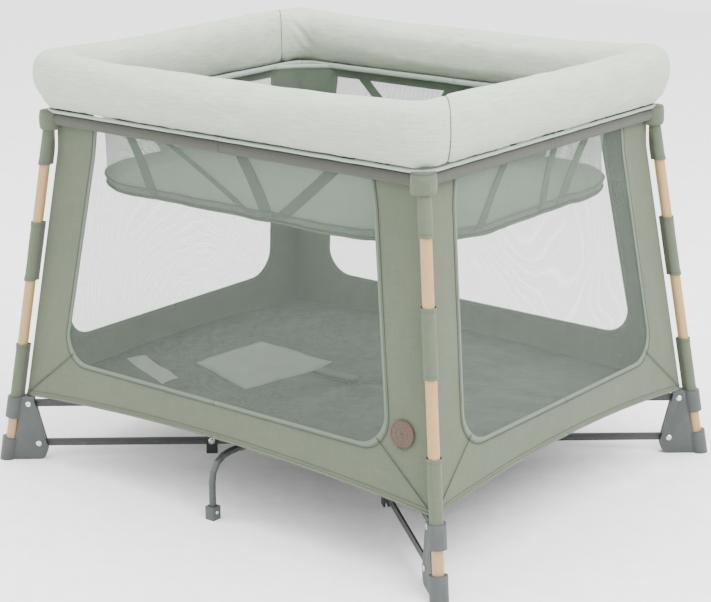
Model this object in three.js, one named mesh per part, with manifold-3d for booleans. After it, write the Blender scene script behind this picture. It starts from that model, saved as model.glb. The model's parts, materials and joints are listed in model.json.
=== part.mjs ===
// Travel play yard: a folding frame on four leaning legs with fabric walls, a padded rim,
// a hanging bassinet and a centre hub that is pulled up to fold the yard.
// Millimetres, +Z up. X runs along the long side, and the front long side faces -Y.
// The origin is on the ground under the middle of the hub.
import * as THREE from 'three';
import { mergeVertices } from 'three/addons/utils/BufferGeometryUtils.js';
import Module from 'manifold-3d';

const wasm = await Module();
wasm.setup();

// ---- Driving dimensions -------------------------------------------------------------------

// Legs: straight tubes that lean inwards towards the middle of the yard.
const FOOT_X = 535.8;            // half the spacing of the leg axes along X, at the ground
const FOOT_Y = 440;              // the same along Y
const LEAN_X = 0.1355;           // how far a leg axis comes in along X for each unit of height
const LEG_R = 10;
const LEG_WALL = 1.5;
const LEG_BOTTOM_Z = 12;
const LEG_TOP_Z = 686;

// Foot brackets and the link arms that join them to the hub.
const BRACKET_TOP_Z = 132;
const CUFF_R = 16.5;
const CUP_TOP_Z = 45;
const CUFF_BOTTOM_Z = 88;
const WEB_T = 20;
const WEB_BOTTOM_IN = 81.312;    // from the leg axis at the ground in to the web's edge, low down
const WEB_TOP_IN = 57.312;       // the same at the bracket's top
const WEB_HEEL_Z = 27;           // height at which the web's inner edge turns under
const WEB_HEEL_IN = 18;          // and how far out it meets the ground
const WEB_TOE_OUT = 6;           // the web's sole runs this far past the leg axis
const CUFF_LAP = 1;              // how deep the web's outer edge runs under the leg's side
const CUP_LAP_Z = 6;             // the web's outer edge turns this far above the cup
const CUFF_LAP_Z = 4;            // and this far below the cuff
const LOW_PIVOT_IN = 64.312;     // lower rivet: in from the leg axis at the ground, and height
const LOW_PIVOT_Z = 33;
const HIGH_PIVOT_OUT = 17;       // upper rivet: how far it is outside and above the lower one
const HIGH_PIVOT_UP = 83;
const PIVOT_SLOT_DEPTH = 17;     // how far the link slot runs past the rivets
const SLOT_STEP = 8;             // the slot's end is cut back by this at its foot
const SLOT_LEAN_BACK = 3;        // and by this beside the upper rivet
const RIVET_R = 3;
const RIVET_HEAD_R = 6;
const RIVET_HEAD_H = 2.2;
const RIVET_CROWN = 0.7;         // the head's flat crown, as a share of its radius
const RIVET_EDGE = 0.4;          // the head's rim, as a share of its height
const LINK_T = 4;
const LINK_H = 15;
const KNUCKLE_R = 285;           // distance of the knuckle's lower pin from the middle
const KNUCKLE_T = 3.5;
const KNUCKLE_HALF_W = 11;
const KNUCKLE_DROP = 26;         // the cheeks hang this far below the lower pin
const KNUCKLE_WAIST = 8;         // and begin to lean this far above it
const KNUCKLE_CHAMFER = 5;

// Top rails: a pair of halves on each side that breaks downwards in the middle.
const RAIL_R = 9;
const RAIL_WALL = 1.5;
const RAIL_Z = 690;              // height of the rail's axis
const RAIL_INSET = 16;           // the rail's pivot is this far inside the leg axis
const RAIL_TUBE_START = 45;      // the tube begins this far from the pivot
const MID_GAP = 2;               // from the short rail's end to the middle
const TAB_T = 5;
const TAB_CLAMP = 16;            // the tab grips the tube over this length
const TAB_CLAMP_DROP = 4;        // and reaches this far below the tube's axis
const TAB_NECK = 12;             // the tab's neck ends this far before the tube
const PLUG_LENGTH = 18;
const PLUG_LAP = 0.9;            // how far the plug runs into the tube's wall
const TAB_HALF_H = 4.6;
const TAB_PIN_R = 2.5;
const CAP_R = 21;
const CAP_BOTTOM_Z = 672;
const CAP_TOP_Z = 704.6;

// Hub in the middle, with its release plunger and the two support tubes.
const HUB_R = 60;
const HUB_BOTTOM_Z = 22;
const HUB_TOP_Z = 128;
const HUB_EAR_T = 16;
const HUB_EAR_MARGIN = 11;
const HUB_EAR_CHAMFER = 8;
const HUB_LAP = 12;              // the ears begin this far inside the hub's rim
const LINK_CLEAR = 6;            // from a link's end to the bottom of its slot
const COVER_H = 4;
const COVER_R = 56;
const PLUNGER_R = 14;
const PLUNGER_BOTTOM_Z = 62;
const PLUNGER_TOP_Z = 134;
const PLUNGER_EYE_W = 26;
const PLUNGER_EYE_T = 6;
const PLUNGER_EYE_H = 5;
const TUBE_R = 6.5;
const TUBE_PIVOT_Y = 78;
const TUBE_Z = 118;
const TUBE_FOOT_IN = 25;         // from the line of the legs at the ground in to the tube's foot
const TUBE_BEND = 55;            // the bend begins this far before the foot
const TUBE_BEND_DROP = 50;
const TUBE_EAR_T = 3;
const TUBE_EAR_HALF_H = 9;
const TUBE_SIDE_CLEAR = 1;       // between the tube and each ear
const TUBE_END_CLEAR = 4;        // between the tube's end and the hub
const TUBE_FOOT_W = 20;
const TUBE_FOOT_H = 26;
const TUBE_INTO_FOOT = 14;

// Fabric: walls, floor, rim, bassinet, strap and badge.
const WALL_INSET = 15;           // the wall's middle is this far inside the leg axes
const WALL_T = 3;
const WALL_TOP_Z = 669;
const WALL_CORNER_Z = 134;
const WALL_MID_RISE = 24;
const WALL_END_GAP = 4;
const MESH_T = 1;
const WINDOW_TOP_Z = 655;
const WINDOW_BOTTOM_Z = 225;
const WINDOW_LAP = 2;            // the netting runs this far under the cloth
const POST_TOP_LONG = 106.05;    // cloth beside the window, at its top and at its sill
const POST_BOTTOM_LONG = 105.3;
const POST_TOP_SHORT = 90.1;
const POST_BOTTOM_SHORT = 98;
const WINDOW_CORNER_R = 55;
const FLOOR_Z = 143;
const FLOOR_T = 4;
const FLOOR_CORNER_R = 30;
const RIM_CLEAR = 1.6;           // from the corner caps' top to the rim's underside
const RIM_H = 119;
const RIM_OUT = 44;              // outward bulge past the leg axes
const RIM_IN = 38;
const RIM_OUTER_CORNER_R = 62;
const RIM_CORNER_STEPS = 4;
// The rim's outline, as shares of its reach out or in from the leg axes and of its height.
const RIM_PROFILE = [
  [-0.55, 0], [0.2, 0], [0.55, 0.1], [0.8, 0.24], [1, 0.47], [1, 0.68], [0.8, 0.87],
  [0.4, 0.98], [0, 1], [-0.5, 0.95], [-0.85, 0.8], [-1, 0.5], [-0.95, 0.15],
];
const BASSINET_TOP_Z = 672;
const BASSINET_FLOOR_Z = 556;
const BASSINET_TOP_INSET = 22;   // inside the leg axes, at the bassinet's top
const BASSINET_BASE_IN_X = 28.46;  // inside the leg axes at the base, along X and along Y
const BASSINET_BASE_IN_Y = 42.13;
const BASSINET_BASE_TUCK = 4;
const BASSINET_WALL_T = 2.5;
const BASSINET_FLOOR_T = 6;
const BASSINET_CORNER_R = 180;
const BASSINET_CORNER_STEPS = 8;
const STRAP_W = 25;
const STRAP_T = 2;
const STRAP_REACH = 100;
const STRAP_STEPS = 28;
// Where the strap bends, as [along X, above the floor]: coming up through the floor,
// turning round at its far end (measured from there), and lying back over itself.
const STRAP_RISE_BENDS = [[0, -1], [-6, 4], [-20, 2]];
const STRAP_TURN_BENDS = [[10, 0], [0, 5], [12, 9]];
const STRAP_BACK_BENDS = [[-30, 11], [12, 9]];
const STRAP_HOLE_MARGIN = 6;
const STRAP_LIFT = 2;            // between the floor and the strap lying on it
const BADGE_R = 25;
const BADGE_T = 2;
const BADGE_IN = 74.7;           // from the leg axis in to the badge's centre
const BADGE_Z = 259;

const GAP = 0.3;                 // between pieces that touch
const SLOT_GAP = 0.5;            // on each side of a plate that swings in a slot
const OVERRUN = 20;              // a cutting shape runs this far past what it cuts
const HOLE_SIDES = 12;           // facets of a small pin or hole
const ROUND_SIDES = 20;          // facets of a tube, cuff or cap
const RAIL_SIDES = 16;
const HUB_SIDES = 28;

// ---- Derived places -------------------------------------------------------------------------

const DIAGONAL = Math.atan2(FOOT_Y, FOOT_X);
const FOOT_R = Math.hypot(FOOT_X, FOOT_Y);
const LEAN = LEAN_X / Math.cos(DIAGONAL);
const LEAN_ANGLE = Math.atan(LEAN);
const legR = (z) => FOOT_R - LEAN * z;
const legX = (z) => legR(z) * Math.cos(DIAGONAL);
const legY = (z) => legR(z) * Math.sin(DIAGONAL);
const LEAN_Y = LEAN_X * Math.tan(DIAGONAL);
const WEB_BOTTOM_R = FOOT_R - WEB_BOTTOM_IN;
const WEB_TOP_R = FOOT_R - WEB_TOP_IN;
const LOW_PIVOT_R = FOOT_R - LOW_PIVOT_IN;
const TUBE_FOOT_Y = FOOT_Y - TUBE_FOOT_IN;

const RAIL_PIVOT_Z = RAIL_Z + RAIL_R;
const SHORT_RAIL = legY(RAIL_PIVOT_Z) - RAIL_INSET - MID_GAP;
const LINK_LENGTH = SHORT_RAIL / Math.sin(DIAGONAL);
const LONG_RAIL = LINK_LENGTH * Math.cos(DIAGONAL);
const HUB_PIVOT_R = LOW_PIVOT_R - LINK_LENGTH;
const HIGH_PIVOT_Z = LOW_PIVOT_Z + HIGH_PIVOT_UP;
const SLOT_W = LINK_T + 2 * SLOT_GAP;
const HOLE_R = RIVET_R + GAP;

const CORNERS = [
  { name: 'front_left', sx: -1, sy: -1 },
  { name: 'front_right', sx: 1, sy: -1 },
  { name: 'back_right', sx: 1, sy: 1 },
  { name: 'back_left', sx: -1, sy: 1 },
];

// ---- Finishes ---------------------------------------------------------------------------------

function finish(color, roughness, metalness = 0) {
  return new THREE.MeshStandardMaterial({ color, roughness, metalness });
}

const beech = finish(0xe1c8aa, 0.55);
const greyPlastic = finish(0x7d8284, 0.5);
const steel = finish(0x6e7270, 0.4, 0.8);
const rivetSteel = finish(0xb8bcbc, 0.25, 1);
const blackPlastic = finish(0x1e1f1f, 0.5);
const tubeGrey = finish(0x737876, 0.45, 0.3);
const sageFabric = finish(0x969d8e, 0.9);
const rimFabric = finish(0xc8cdc6, 0.9);
const floorFabric = finish(0x6b7a6c, 0.9);
const bassinetMesh = finish(0x8c9a8a, 0.85);
const webbing = finish(0x5f6b5f, 0.85);
const leather = finish(0x78695c, 0.7);

// ---- Helpers --------------------------------------------------------------------------------

// A closed geometry as a solid that can be joined and cut.
function solid(geometry) {
  const bare = new THREE.BufferGeometry();
  bare.setAttribute('position', geometry.getAttribute('position').clone());
  if (geometry.index) {
    bare.setIndex(geometry.index.clone());
  }
  const merged = mergeVertices(bare, 1e-4);
  return new wasm.Manifold(new wasm.Mesh({
    numProp: 3,
    vertProperties: new Float32Array(merged.getAttribute('position').array),
    triVerts: new Uint32Array(merged.index.array),
  }));
}

function geometryOf(body) {
  const mesh = body.getMesh();
  const geometry = new THREE.BufferGeometry();
  geometry.setAttribute('position', new THREE.BufferAttribute(mesh.vertProperties, 3));
  geometry.setIndex(new THREE.BufferAttribute(mesh.triVerts, 1));
  geometry.computeVertexNormals();
  return geometry;
}

function named(name, geometry, material) {
  const mesh = new THREE.Mesh(geometry, material);
  mesh.name = name;
  return mesh;
}

// A flat plate drawn in the X-Z plane, with its thickness centred on Y.
function uprightPlate(shape, thickness, curveSegments = 8) {
  const options = { depth: thickness, bevelEnabled: false, curveSegments };
  const geometry = new THREE.ExtrudeGeometry(shape, options);
  geometry.rotateX(Math.PI / 2);
  geometry.translate(0, thickness / 2, 0);
  return geometry;
}

function polygon(points) {
  return new THREE.Shape(points.map(([x, y]) => new THREE.Vector2(x, y)));
}

// A round pin along Y at a place in the X-Z plane.
function crossPin(x, z, radius, length) {
  const geometry = new THREE.CylinderGeometry(radius, radius, length, HOLE_SIDES);
  geometry.translate(x, 0, z);
  return geometry;
}

function upright(radius, bottomZ, topZ, sides) {
  const geometry = new THREE.CylinderGeometry(radius, radius, topZ - bottomZ, sides);
  geometry.rotateX(Math.PI / 2);
  geometry.translate(0, 0, (bottomZ + topZ) / 2);
  return geometry;
}

function block(x0, x1, y0, y1, z0, z1) {
  const geometry = new THREE.BoxGeometry(x1 - x0, y1 - y0, z1 - z0);
  geometry.translate((x0 + x1) / 2, (y0 + y1) / 2, (z0 + z1) / 2);
  return geometry;
}

// A ring of the given section along +X, from 0 to length.
function pipe(radius, wall, length, sides) {
  const profile = [
    new THREE.Vector2(radius - wall, 0),
    new THREE.Vector2(radius, 0),
    new THREE.Vector2(radius, length),
    new THREE.Vector2(radius - wall, length),
    new THREE.Vector2(radius - wall, 0),
  ];
  const geometry = new THREE.LatheGeometry(profile, sides);
  geometry.rotateZ(-Math.PI / 2);
  return geometry;
}

// A rod along a leg's axis, in the leg's own upright plane, between two heights.
function alongLeg(radius, bottomZ, topZ, sides) {
  const length = (topZ - bottomZ) / Math.cos(LEAN_ANGLE);
  const geometry = new THREE.CylinderGeometry(radius, radius, length, sides);
  geometry.rotateX(Math.PI / 2);
  geometry.rotateY(-LEAN_ANGLE);
  geometry.translate(legR((bottomZ + topZ) / 2), 0, (bottomZ + topZ) / 2);
  return geometry;
}

function roundedRectangle(halfX, halfY, radius) {
  const shape = new THREE.Shape();
  shape.moveTo(halfX, -halfY + radius);
  shape.lineTo(halfX, halfY - radius);
  shape.absarc(halfX - radius, halfY - radius, radius, 0, Math.PI / 2, false);
  shape.lineTo(-halfX + radius, halfY);
  shape.absarc(-halfX + radius, halfY - radius, radius, Math.PI / 2, Math.PI, false);
  shape.lineTo(-halfX, -halfY + radius);
  shape.absarc(-halfX + radius, -halfY + radius, radius, Math.PI, 1.5 * Math.PI, false);
  shape.lineTo(halfX - radius, -halfY);
  shape.absarc(halfX - radius, -halfY + radius, radius, 1.5 * Math.PI, 2 * Math.PI, false);
  return shape;
}

// A closed skin through rings of points, each ring going the same way round.
function loft(rings, closedLoop = false) {
  const count = rings[0].length;
  const positions = rings.flat(2);
  const index = [];
  const last = closedLoop ? rings.length : rings.length - 1;
  for (let i = 0; i < last; i += 1) {
    const a = i * count;
    const b = ((i + 1) % rings.length) * count;
    for (let j = 0; j < count; j += 1) {
      const k = (j + 1) % count;
      index.push(a + j, b + j, b + k, a + j, b + k, a + k);
    }
  }
  if (!closedLoop) {
    const start = 0;
    const end = (rings.length - 1) * count;
    for (let j = 1; j < count - 1; j += 1) {
      index.push(start, start + j, start + j + 1);
      index.push(end, end + j + 1, end + j);
    }
  }
  const geometry = new THREE.BufferGeometry();
  geometry.setAttribute('position', new THREE.Float32BufferAttribute(positions, 3));
  geometry.setIndex(index);
  geometry.computeVertexNormals();
  return geometry;
}

// ---- Corner pieces, each drawn in the upright plane of its leg, with +X outwards ---------------

function legTube() {
  const length = (LEG_TOP_Z - LEG_BOTTOM_Z) / Math.cos(LEAN_ANGLE);
  const geometry = pipe(LEG_R, LEG_WALL, length, ROUND_SIDES);
  geometry.rotateY(-Math.PI / 2 - LEAN_ANGLE);
  geometry.translate(legR(LEG_BOTTOM_Z), 0, LEG_BOTTOM_Z);
  return geometry;
}

function footBracket() {
  const edge = LEG_R + CUFF_LAP;
  const webOutline = new THREE.Shape();
  webOutline.moveTo(WEB_BOTTOM_R + WEB_HEEL_IN, 0);
  webOutline.lineTo(legR(0) + WEB_TOE_OUT, 0);
  webOutline.lineTo(legR(CUP_TOP_Z) - edge, CUP_TOP_Z + CUP_LAP_Z);
  webOutline.lineTo(legR(CUFF_BOTTOM_Z) - edge, CUFF_BOTTOM_Z - CUFF_LAP_Z);
  webOutline.lineTo(legR(BRACKET_TOP_Z), BRACKET_TOP_Z);
  webOutline.lineTo(WEB_TOP_R, BRACKET_TOP_Z);
  webOutline.lineTo(WEB_BOTTOM_R, WEB_HEEL_Z);
  webOutline.quadraticCurveTo(WEB_BOTTOM_R, 0, WEB_BOTTOM_R + WEB_HEEL_IN, 0);
  const web = solid(uprightPlate(webOutline, WEB_T, 6));
  const cuff = solid(alongLeg(CUFF_R, CUFF_BOTTOM_Z, BRACKET_TOP_Z + OVERRUN, ROUND_SIDES));
  const cup = solid(alongLeg(CUFF_R, -OVERRUN, CUP_TOP_Z, ROUND_SIDES));
  const wide = 3 * CUFF_R;
  const keep = solid(block(0, 2 * FOOT_R, -wide, wide, 0, BRACKET_TOP_Z));
  const boreTop = BRACKET_TOP_Z + OVERRUN;
  const bore = solid(alongLeg(LEG_R + GAP, LEG_BOTTOM_Z - GAP, boreTop, ROUND_SIDES));
  const slotEnd = LOW_PIVOT_R + PIVOT_SLOT_DEPTH;
  const slotTopEnd = slotEnd + HIGH_PIVOT_OUT - SLOT_LEAN_BACK;
  const slotOutline = polygon([
    [WEB_BOTTOM_R - OVERRUN, LOW_PIVOT_Z - LINK_H],
    [slotEnd - SLOT_STEP, LOW_PIVOT_Z - LINK_H],
    [slotEnd, LOW_PIVOT_Z - SLOT_STEP / 2],
    [slotTopEnd, HIGH_PIVOT_Z - SLOT_STEP],
    [slotTopEnd - SLOT_STEP / 4, BRACKET_TOP_Z + OVERRUN],
    [WEB_BOTTOM_R - OVERRUN, BRACKET_TOP_Z + OVERRUN],
  ]);
  const slot = solid(uprightPlate(slotOutline, SLOT_W));
  let body = web.add(cuff).add(cup).intersect(keep).subtract(bore).subtract(slot);
  for (const [r, z] of rivetPlaces()) {
    body = body.subtract(solid(crossPin(r, z, HOLE_R, WEB_T + OVERRUN)));
  }
  return geometryOf(body);
}

function rivetPlaces() {
  return [
    [LOW_PIVOT_R, LOW_PIVOT_Z],
    [LOW_PIVOT_R + HIGH_PIVOT_OUT, HIGH_PIVOT_Z],
  ];
}

function footRivet([r, z]) {
  const seat = WEB_T / 2 + GAP;
  const crown = RIVET_HEAD_R * RIVET_CROWN;
  const edge = seat + RIVET_HEAD_H * RIVET_EDGE;
  const top = seat + RIVET_HEAD_H;
  const profile = [
    [0, -top],
    [crown, -top],
    [RIVET_HEAD_R, -edge],
    [RIVET_HEAD_R, -seat],
    [RIVET_R, -seat],
    [RIVET_R, seat],
    [RIVET_HEAD_R, seat],
    [RIVET_HEAD_R, edge],
    [crown, top],
    [0, top],
  ].map(([x, y]) => new THREE.Vector2(x, y));
  const geometry = new THREE.LatheGeometry(profile, HOLE_SIDES);
  geometry.translate(r, 0, z);
  return geometry;
}

// A flat bar from the foot's rivet to the hub's pin, with a hole for the knuckle's pin.
function linkBar(outward, z) {
  const outer = LOW_PIVOT_R + outward;
  const inner = HUB_PIVOT_R + outward;
  const half = LINK_H / 2;
  const outline = new THREE.Shape();
  outline.moveTo(inner, z - half);
  outline.lineTo(outer, z - half);
  outline.absarc(outer, z, half, -Math.PI / 2, Math.PI / 2, false);
  outline.lineTo(inner, z + half);
  outline.absarc(inner, z, half, Math.PI / 2, 1.5 * Math.PI, false);
  let bar = solid(uprightPlate(outline, LINK_T, 4));
  for (const r of [inner, KNUCKLE_R + outward, outer]) {
    bar = bar.subtract(solid(crossPin(r, z, HOLE_R, LINK_T + OVERRUN)));
  }
  return geometryOf(bar);
}

// Two cheeks beside the links, joined by the two pins that pass through them.
function knuckle() {
  const low = LOW_PIVOT_Z - KNUCKLE_DROP;
  const waist = LOW_PIVOT_Z + KNUCKLE_WAIST;
  const high = HIGH_PIVOT_Z + KNUCKLE_HALF_W;
  const shift = HIGH_PIVOT_OUT;
  const crown = KNUCKLE_HALF_W - KNUCKLE_CHAMFER;
  const outline = polygon([
    [KNUCKLE_R - KNUCKLE_HALF_W, low],
    [KNUCKLE_R + KNUCKLE_HALF_W, low],
    [KNUCKLE_R + KNUCKLE_HALF_W, waist],
    [KNUCKLE_R + shift + KNUCKLE_HALF_W, high - KNUCKLE_CHAMFER],
    [KNUCKLE_R + shift + crown, high],
    [KNUCKLE_R + shift - crown, high],
    [KNUCKLE_R + shift - KNUCKLE_HALF_W, high - KNUCKLE_CHAMFER],
    [KNUCKLE_R - KNUCKLE_HALF_W, waist],
  ]);
  const offset = SLOT_W / 2 + KNUCKLE_T / 2;
  const width = 2 * (offset + KNUCKLE_T / 2);
  let body = solid(crossPin(KNUCKLE_R, LOW_PIVOT_Z, RIVET_R, width));
  body = body.add(solid(crossPin(KNUCKLE_R + shift, HIGH_PIVOT_Z, RIVET_R, width)));
  for (const side of [-1, 1]) {
    const cheek = uprightPlate(outline, KNUCKLE_T);
    cheek.translate(0, side * offset, 0);
    body = body.add(solid(cheek));
  }
  return geometryOf(body);
}

// ---- Corner cap and top rails -------------------------------------------------------------------

// The cap takes the leg's top and holds the two rail tabs on pins. Drawn with its origin at the
// leg axis at the ground, and +X and +Y pointing out of the yard.
function cornerCap() {
  const x = legX(RAIL_Z);
  const y = legY(RAIL_Z);
  const shell = upright(CAP_R, CAP_BOTTOM_Z, CAP_TOP_Z, ROUND_SIDES);
  shell.translate(x, y, 0);
  const bore = alongLeg(LEG_R + GAP, CAP_BOTTOM_Z - OVERRUN, LEG_TOP_Z + GAP, ROUND_SIDES);
  bore.rotateZ(DIAGONAL);
  const pivotX = legX(RAIL_PIVOT_Z) - RAIL_INSET;
  const pivotY = legY(RAIL_PIVOT_Z) - RAIL_INSET;
  const reach = CAP_R + OVERRUN;
  const slotLow = CAP_BOTTOM_Z - OVERRUN;
  const slotHigh = CAP_TOP_Z + OVERRUN;
  const slotHalf = TAB_T / 2 + SLOT_GAP;
  const slotEndX = pivotX + TAB_HALF_H + 2 * SLOT_GAP;
  const slotEndY = pivotY + TAB_HALF_H + 2 * SLOT_GAP;
  const slotX = block(x - reach, slotEndX, y - slotHalf, y + slotHalf, slotLow, slotHigh);
  const slotY = block(x - slotHalf, x + slotHalf, y - reach, slotEndY, slotLow, slotHigh);
  const pinX = new THREE.CylinderGeometry(TAB_PIN_R, TAB_PIN_R, CAP_R, HOLE_SIDES);
  pinX.translate(pivotX, y, RAIL_PIVOT_Z);
  const pinY = new THREE.CylinderGeometry(TAB_PIN_R, TAB_PIN_R, CAP_R, HOLE_SIDES);
  pinY.rotateZ(Math.PI / 2);
  pinY.translate(x, pivotY, RAIL_PIVOT_Z);
  const body = solid(shell).subtract(solid(bore)).subtract(solid(slotX)).subtract(solid(slotY));
  return geometryOf(body.add(solid(pinX)).add(solid(pinY)));
}

// One half of a top rail, along +X from its pivot, with the pivot at the origin.
function halfRail(length) {
  const tube = pipe(RAIL_R, RAIL_WALL, length - RAIL_TUBE_START - 1, RAIL_SIDES);
  tube.translate(RAIL_TUBE_START, 0, -RAIL_R);
  const neck = RAIL_TUBE_START - TAB_NECK;
  const clampEnd = RAIL_TUBE_START + TAB_CLAMP;
  const clampLow = -RAIL_R - TAB_CLAMP_DROP;
  const tabOutline = new THREE.Shape();
  tabOutline.moveTo(0, -TAB_HALF_H);
  tabOutline.lineTo(neck, -TAB_HALF_H);
  tabOutline.lineTo(RAIL_TUBE_START, clampLow);
  tabOutline.lineTo(clampEnd, clampLow);
  tabOutline.lineTo(clampEnd, -RAIL_WALL);
  tabOutline.lineTo(RAIL_TUBE_START - TAB_NECK / 2, -RAIL_WALL);
  tabOutline.lineTo(neck, TAB_HALF_H);
  tabOutline.lineTo(0, TAB_HALF_H);
  tabOutline.absarc(0, 0, TAB_HALF_H, Math.PI / 2, 1.5 * Math.PI, false);
  const plugR = RAIL_R - RAIL_WALL + PLUG_LAP;
  const plug = new THREE.CylinderGeometry(plugR, plugR, PLUG_LENGTH, RAIL_SIDES);
  plug.rotateZ(-Math.PI / 2);
  plug.translate(RAIL_TUBE_START + PLUG_LENGTH / 2 - 1, 0, -RAIL_R);
  const hole = crossPin(0, 0, TAB_PIN_R + GAP, TAB_T + OVERRUN);
  const body = solid(tube).add(solid(plug)).add(solid(uprightPlate(tabOutline, TAB_T)));
  return geometryOf(body.subtract(solid(hole)));
}

// ---- Hub, plunger and support tubes -----------------------------------------------------------

function hubBody() {
  let body = solid(upright(HUB_R, HUB_BOTTOM_Z, HUB_TOP_Z, HUB_SIDES));
  const highR = HUB_PIVOT_R + HIGH_PIVOT_OUT;
  const cutTop = HUB_TOP_Z + OVERRUN;
  const earOutline = polygon([
    [HUB_R - HUB_LAP, HUB_BOTTOM_Z],
    [HUB_PIVOT_R + HUB_EAR_MARGIN - HUB_EAR_CHAMFER, HUB_BOTTOM_Z],
    [HUB_PIVOT_R + HUB_EAR_MARGIN, HUB_BOTTOM_Z + HUB_EAR_CHAMFER],
    [highR + HUB_EAR_MARGIN, HUB_TOP_Z - 2 * HUB_EAR_CHAMFER],
    [highR + HUB_EAR_MARGIN - HUB_EAR_CHAMFER / 2, HUB_TOP_Z],
    [HUB_R - HUB_LAP, HUB_TOP_Z],
  ]);
  const slotStart = HUB_PIVOT_R - LINK_H / 2 - LINK_CLEAR;
  const pinLength = HUB_EAR_T - 1;
  for (const { sx, sy } of CORNERS) {
    const turn = Math.atan2(sy * FOOT_Y, sx * FOOT_X);
    const ear = uprightPlate(earOutline, HUB_EAR_T);
    const slot = block(slotStart, 2 * highR, -SLOT_W / 2, SLOT_W / 2, 0, cutTop);
    const lowPin = crossPin(HUB_PIVOT_R, LOW_PIVOT_Z, RIVET_R, pinLength);
    const highPin = crossPin(highR, HIGH_PIVOT_Z, RIVET_R, pinLength);
    for (const piece of [ear, slot, lowPin, highPin]) {
      piece.rotateZ(turn);
    }
    body = body.add(solid(ear)).subtract(solid(slot)).add(solid(lowPin)).add(solid(highPin));
  }
  for (const side of [-1, 1]) {
    body = withTubeEars(body, side);
  }
  body = body.subtract(solid(upright(PLUNGER_R + SLOT_GAP, 0, cutTop, ROUND_SIDES)));
  return geometryOf(body);
}

// Two ears and a pin on the hub's front or back, between which a support tube turns.
function withTubeEars(body, side) {
  const cheek = TUBE_R + TUBE_SIDE_CLEAR;
  const wide = cheek + TUBE_EAR_T;
  const tip = side * (TUBE_PIVOT_Y + TUBE_EAR_HALF_H);
  const root = side * (HUB_R - HUB_LAP);
  const low = TUBE_Z - TUBE_EAR_HALF_H;
  const high = TUBE_Z + TUBE_EAR_HALF_H;
  const ears = block(-wide, wide, Math.min(root, tip), Math.max(root, tip), low, high);
  const from = side * (TUBE_PIVOT_Y - TUBE_R - TUBE_END_CLEAR);
  const to = tip + side * OVERRUN;
  const slot = block(-cheek, cheek, Math.min(from, to), Math.max(from, to), 0, HUB_TOP_Z + OVERRUN);
  const pin = new THREE.CylinderGeometry(TAB_PIN_R, TAB_PIN_R, cheek + wide, HOLE_SIDES);
  pin.rotateZ(Math.PI / 2);
  pin.translate(0, side * TUBE_PIVOT_Y, TUBE_Z);
  return body.add(solid(ears)).subtract(solid(slot)).add(solid(pin));
}

function hubCover() {
  const outline = new THREE.Shape();
  outline.absarc(0, 0, COVER_R, 0, 2 * Math.PI, false);
  const hole = new THREE.Path();
  hole.absarc(0, 0, PLUNGER_R + SLOT_GAP, 0, 2 * Math.PI, true);
  outline.holes.push(hole);
  const geometry = new THREE.ExtrudeGeometry(outline, {
    depth: COVER_H, bevelEnabled: false, curveSegments: 14,
  });
  geometry.translate(0, 0, HUB_TOP_Z + GAP);
  return geometry;
}

function releasePlunger() {
  const rod = solid(upright(PLUNGER_R, PLUNGER_BOTTOM_Z, PLUNGER_TOP_Z, ROUND_SIDES));
  const eyeTop = PLUNGER_TOP_Z + PLUNGER_EYE_H;
  const half = PLUNGER_EYE_W / 2;
  const eye = block(-PLUNGER_EYE_T / 2, PLUNGER_EYE_T / 2, -half, half, PLUNGER_TOP_Z - 4, eyeTop);
  const limit = solid(upright(PLUNGER_R, PLUNGER_BOTTOM_Z, eyeTop, ROUND_SIDES));
  return geometryOf(rod.add(solid(eye).intersect(limit)));
}

// The tube runs out from its pivot under the floor and bends down to its foot.
function supportTube(side) {
  const path = new THREE.CurvePath();
  const start = new THREE.Vector3(0, side * (TUBE_PIVOT_Y - TUBE_R), TUBE_Z);
  const bendStart = new THREE.Vector3(0, side * (TUBE_FOOT_Y - TUBE_BEND), TUBE_Z);
  const bendEnd = new THREE.Vector3(0, side * TUBE_FOOT_Y, TUBE_Z - TUBE_BEND_DROP);
  const end = new THREE.Vector3(0, side * TUBE_FOOT_Y, TUBE_FOOT_H - TUBE_INTO_FOOT);
  const bendCorner = new THREE.Vector3(0, side * TUBE_FOOT_Y, TUBE_Z);
  path.add(new THREE.LineCurve3(start, bendStart));
  path.add(new THREE.QuadraticBezierCurve3(bendStart, bendCorner, bendEnd));
  path.add(new THREE.LineCurve3(bendEnd, end));
  const section = new THREE.Shape();
  section.absarc(0, 0, TUBE_R, 0, 2 * Math.PI, false);
  const tube = new THREE.ExtrudeGeometry(section, { steps: 22, extrudePath: path, curveSegments: 6 });
  const holeR = TAB_PIN_R + GAP;
  const hole = new THREE.CylinderGeometry(holeR, holeR, 2 * TUBE_R + OVERRUN, HOLE_SIDES);
  hole.rotateZ(Math.PI / 2);
  hole.translate(0, side * TUBE_PIVOT_Y, TUBE_Z);
  return geometryOf(solid(tube).subtract(solid(hole)));
}

function tubeFoot(side) {
  const half = TUBE_FOOT_W / 2;
  const centre = side * TUBE_FOOT_Y;
  const outer = solid(block(-half, half, centre - half, centre + half, 0, TUBE_FOOT_H));
  const boreLow = TUBE_FOOT_H - TUBE_INTO_FOOT - GAP;
  const bore = upright(TUBE_R + GAP, boreLow, TUBE_FOOT_H + OVERRUN, HOLE_SIDES);
  bore.translate(0, centre, 0);
  return geometryOf(outer.subtract(solid(bore)));
}

// ---- Fabric pieces ----------------------------------------------------------------------------

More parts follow.
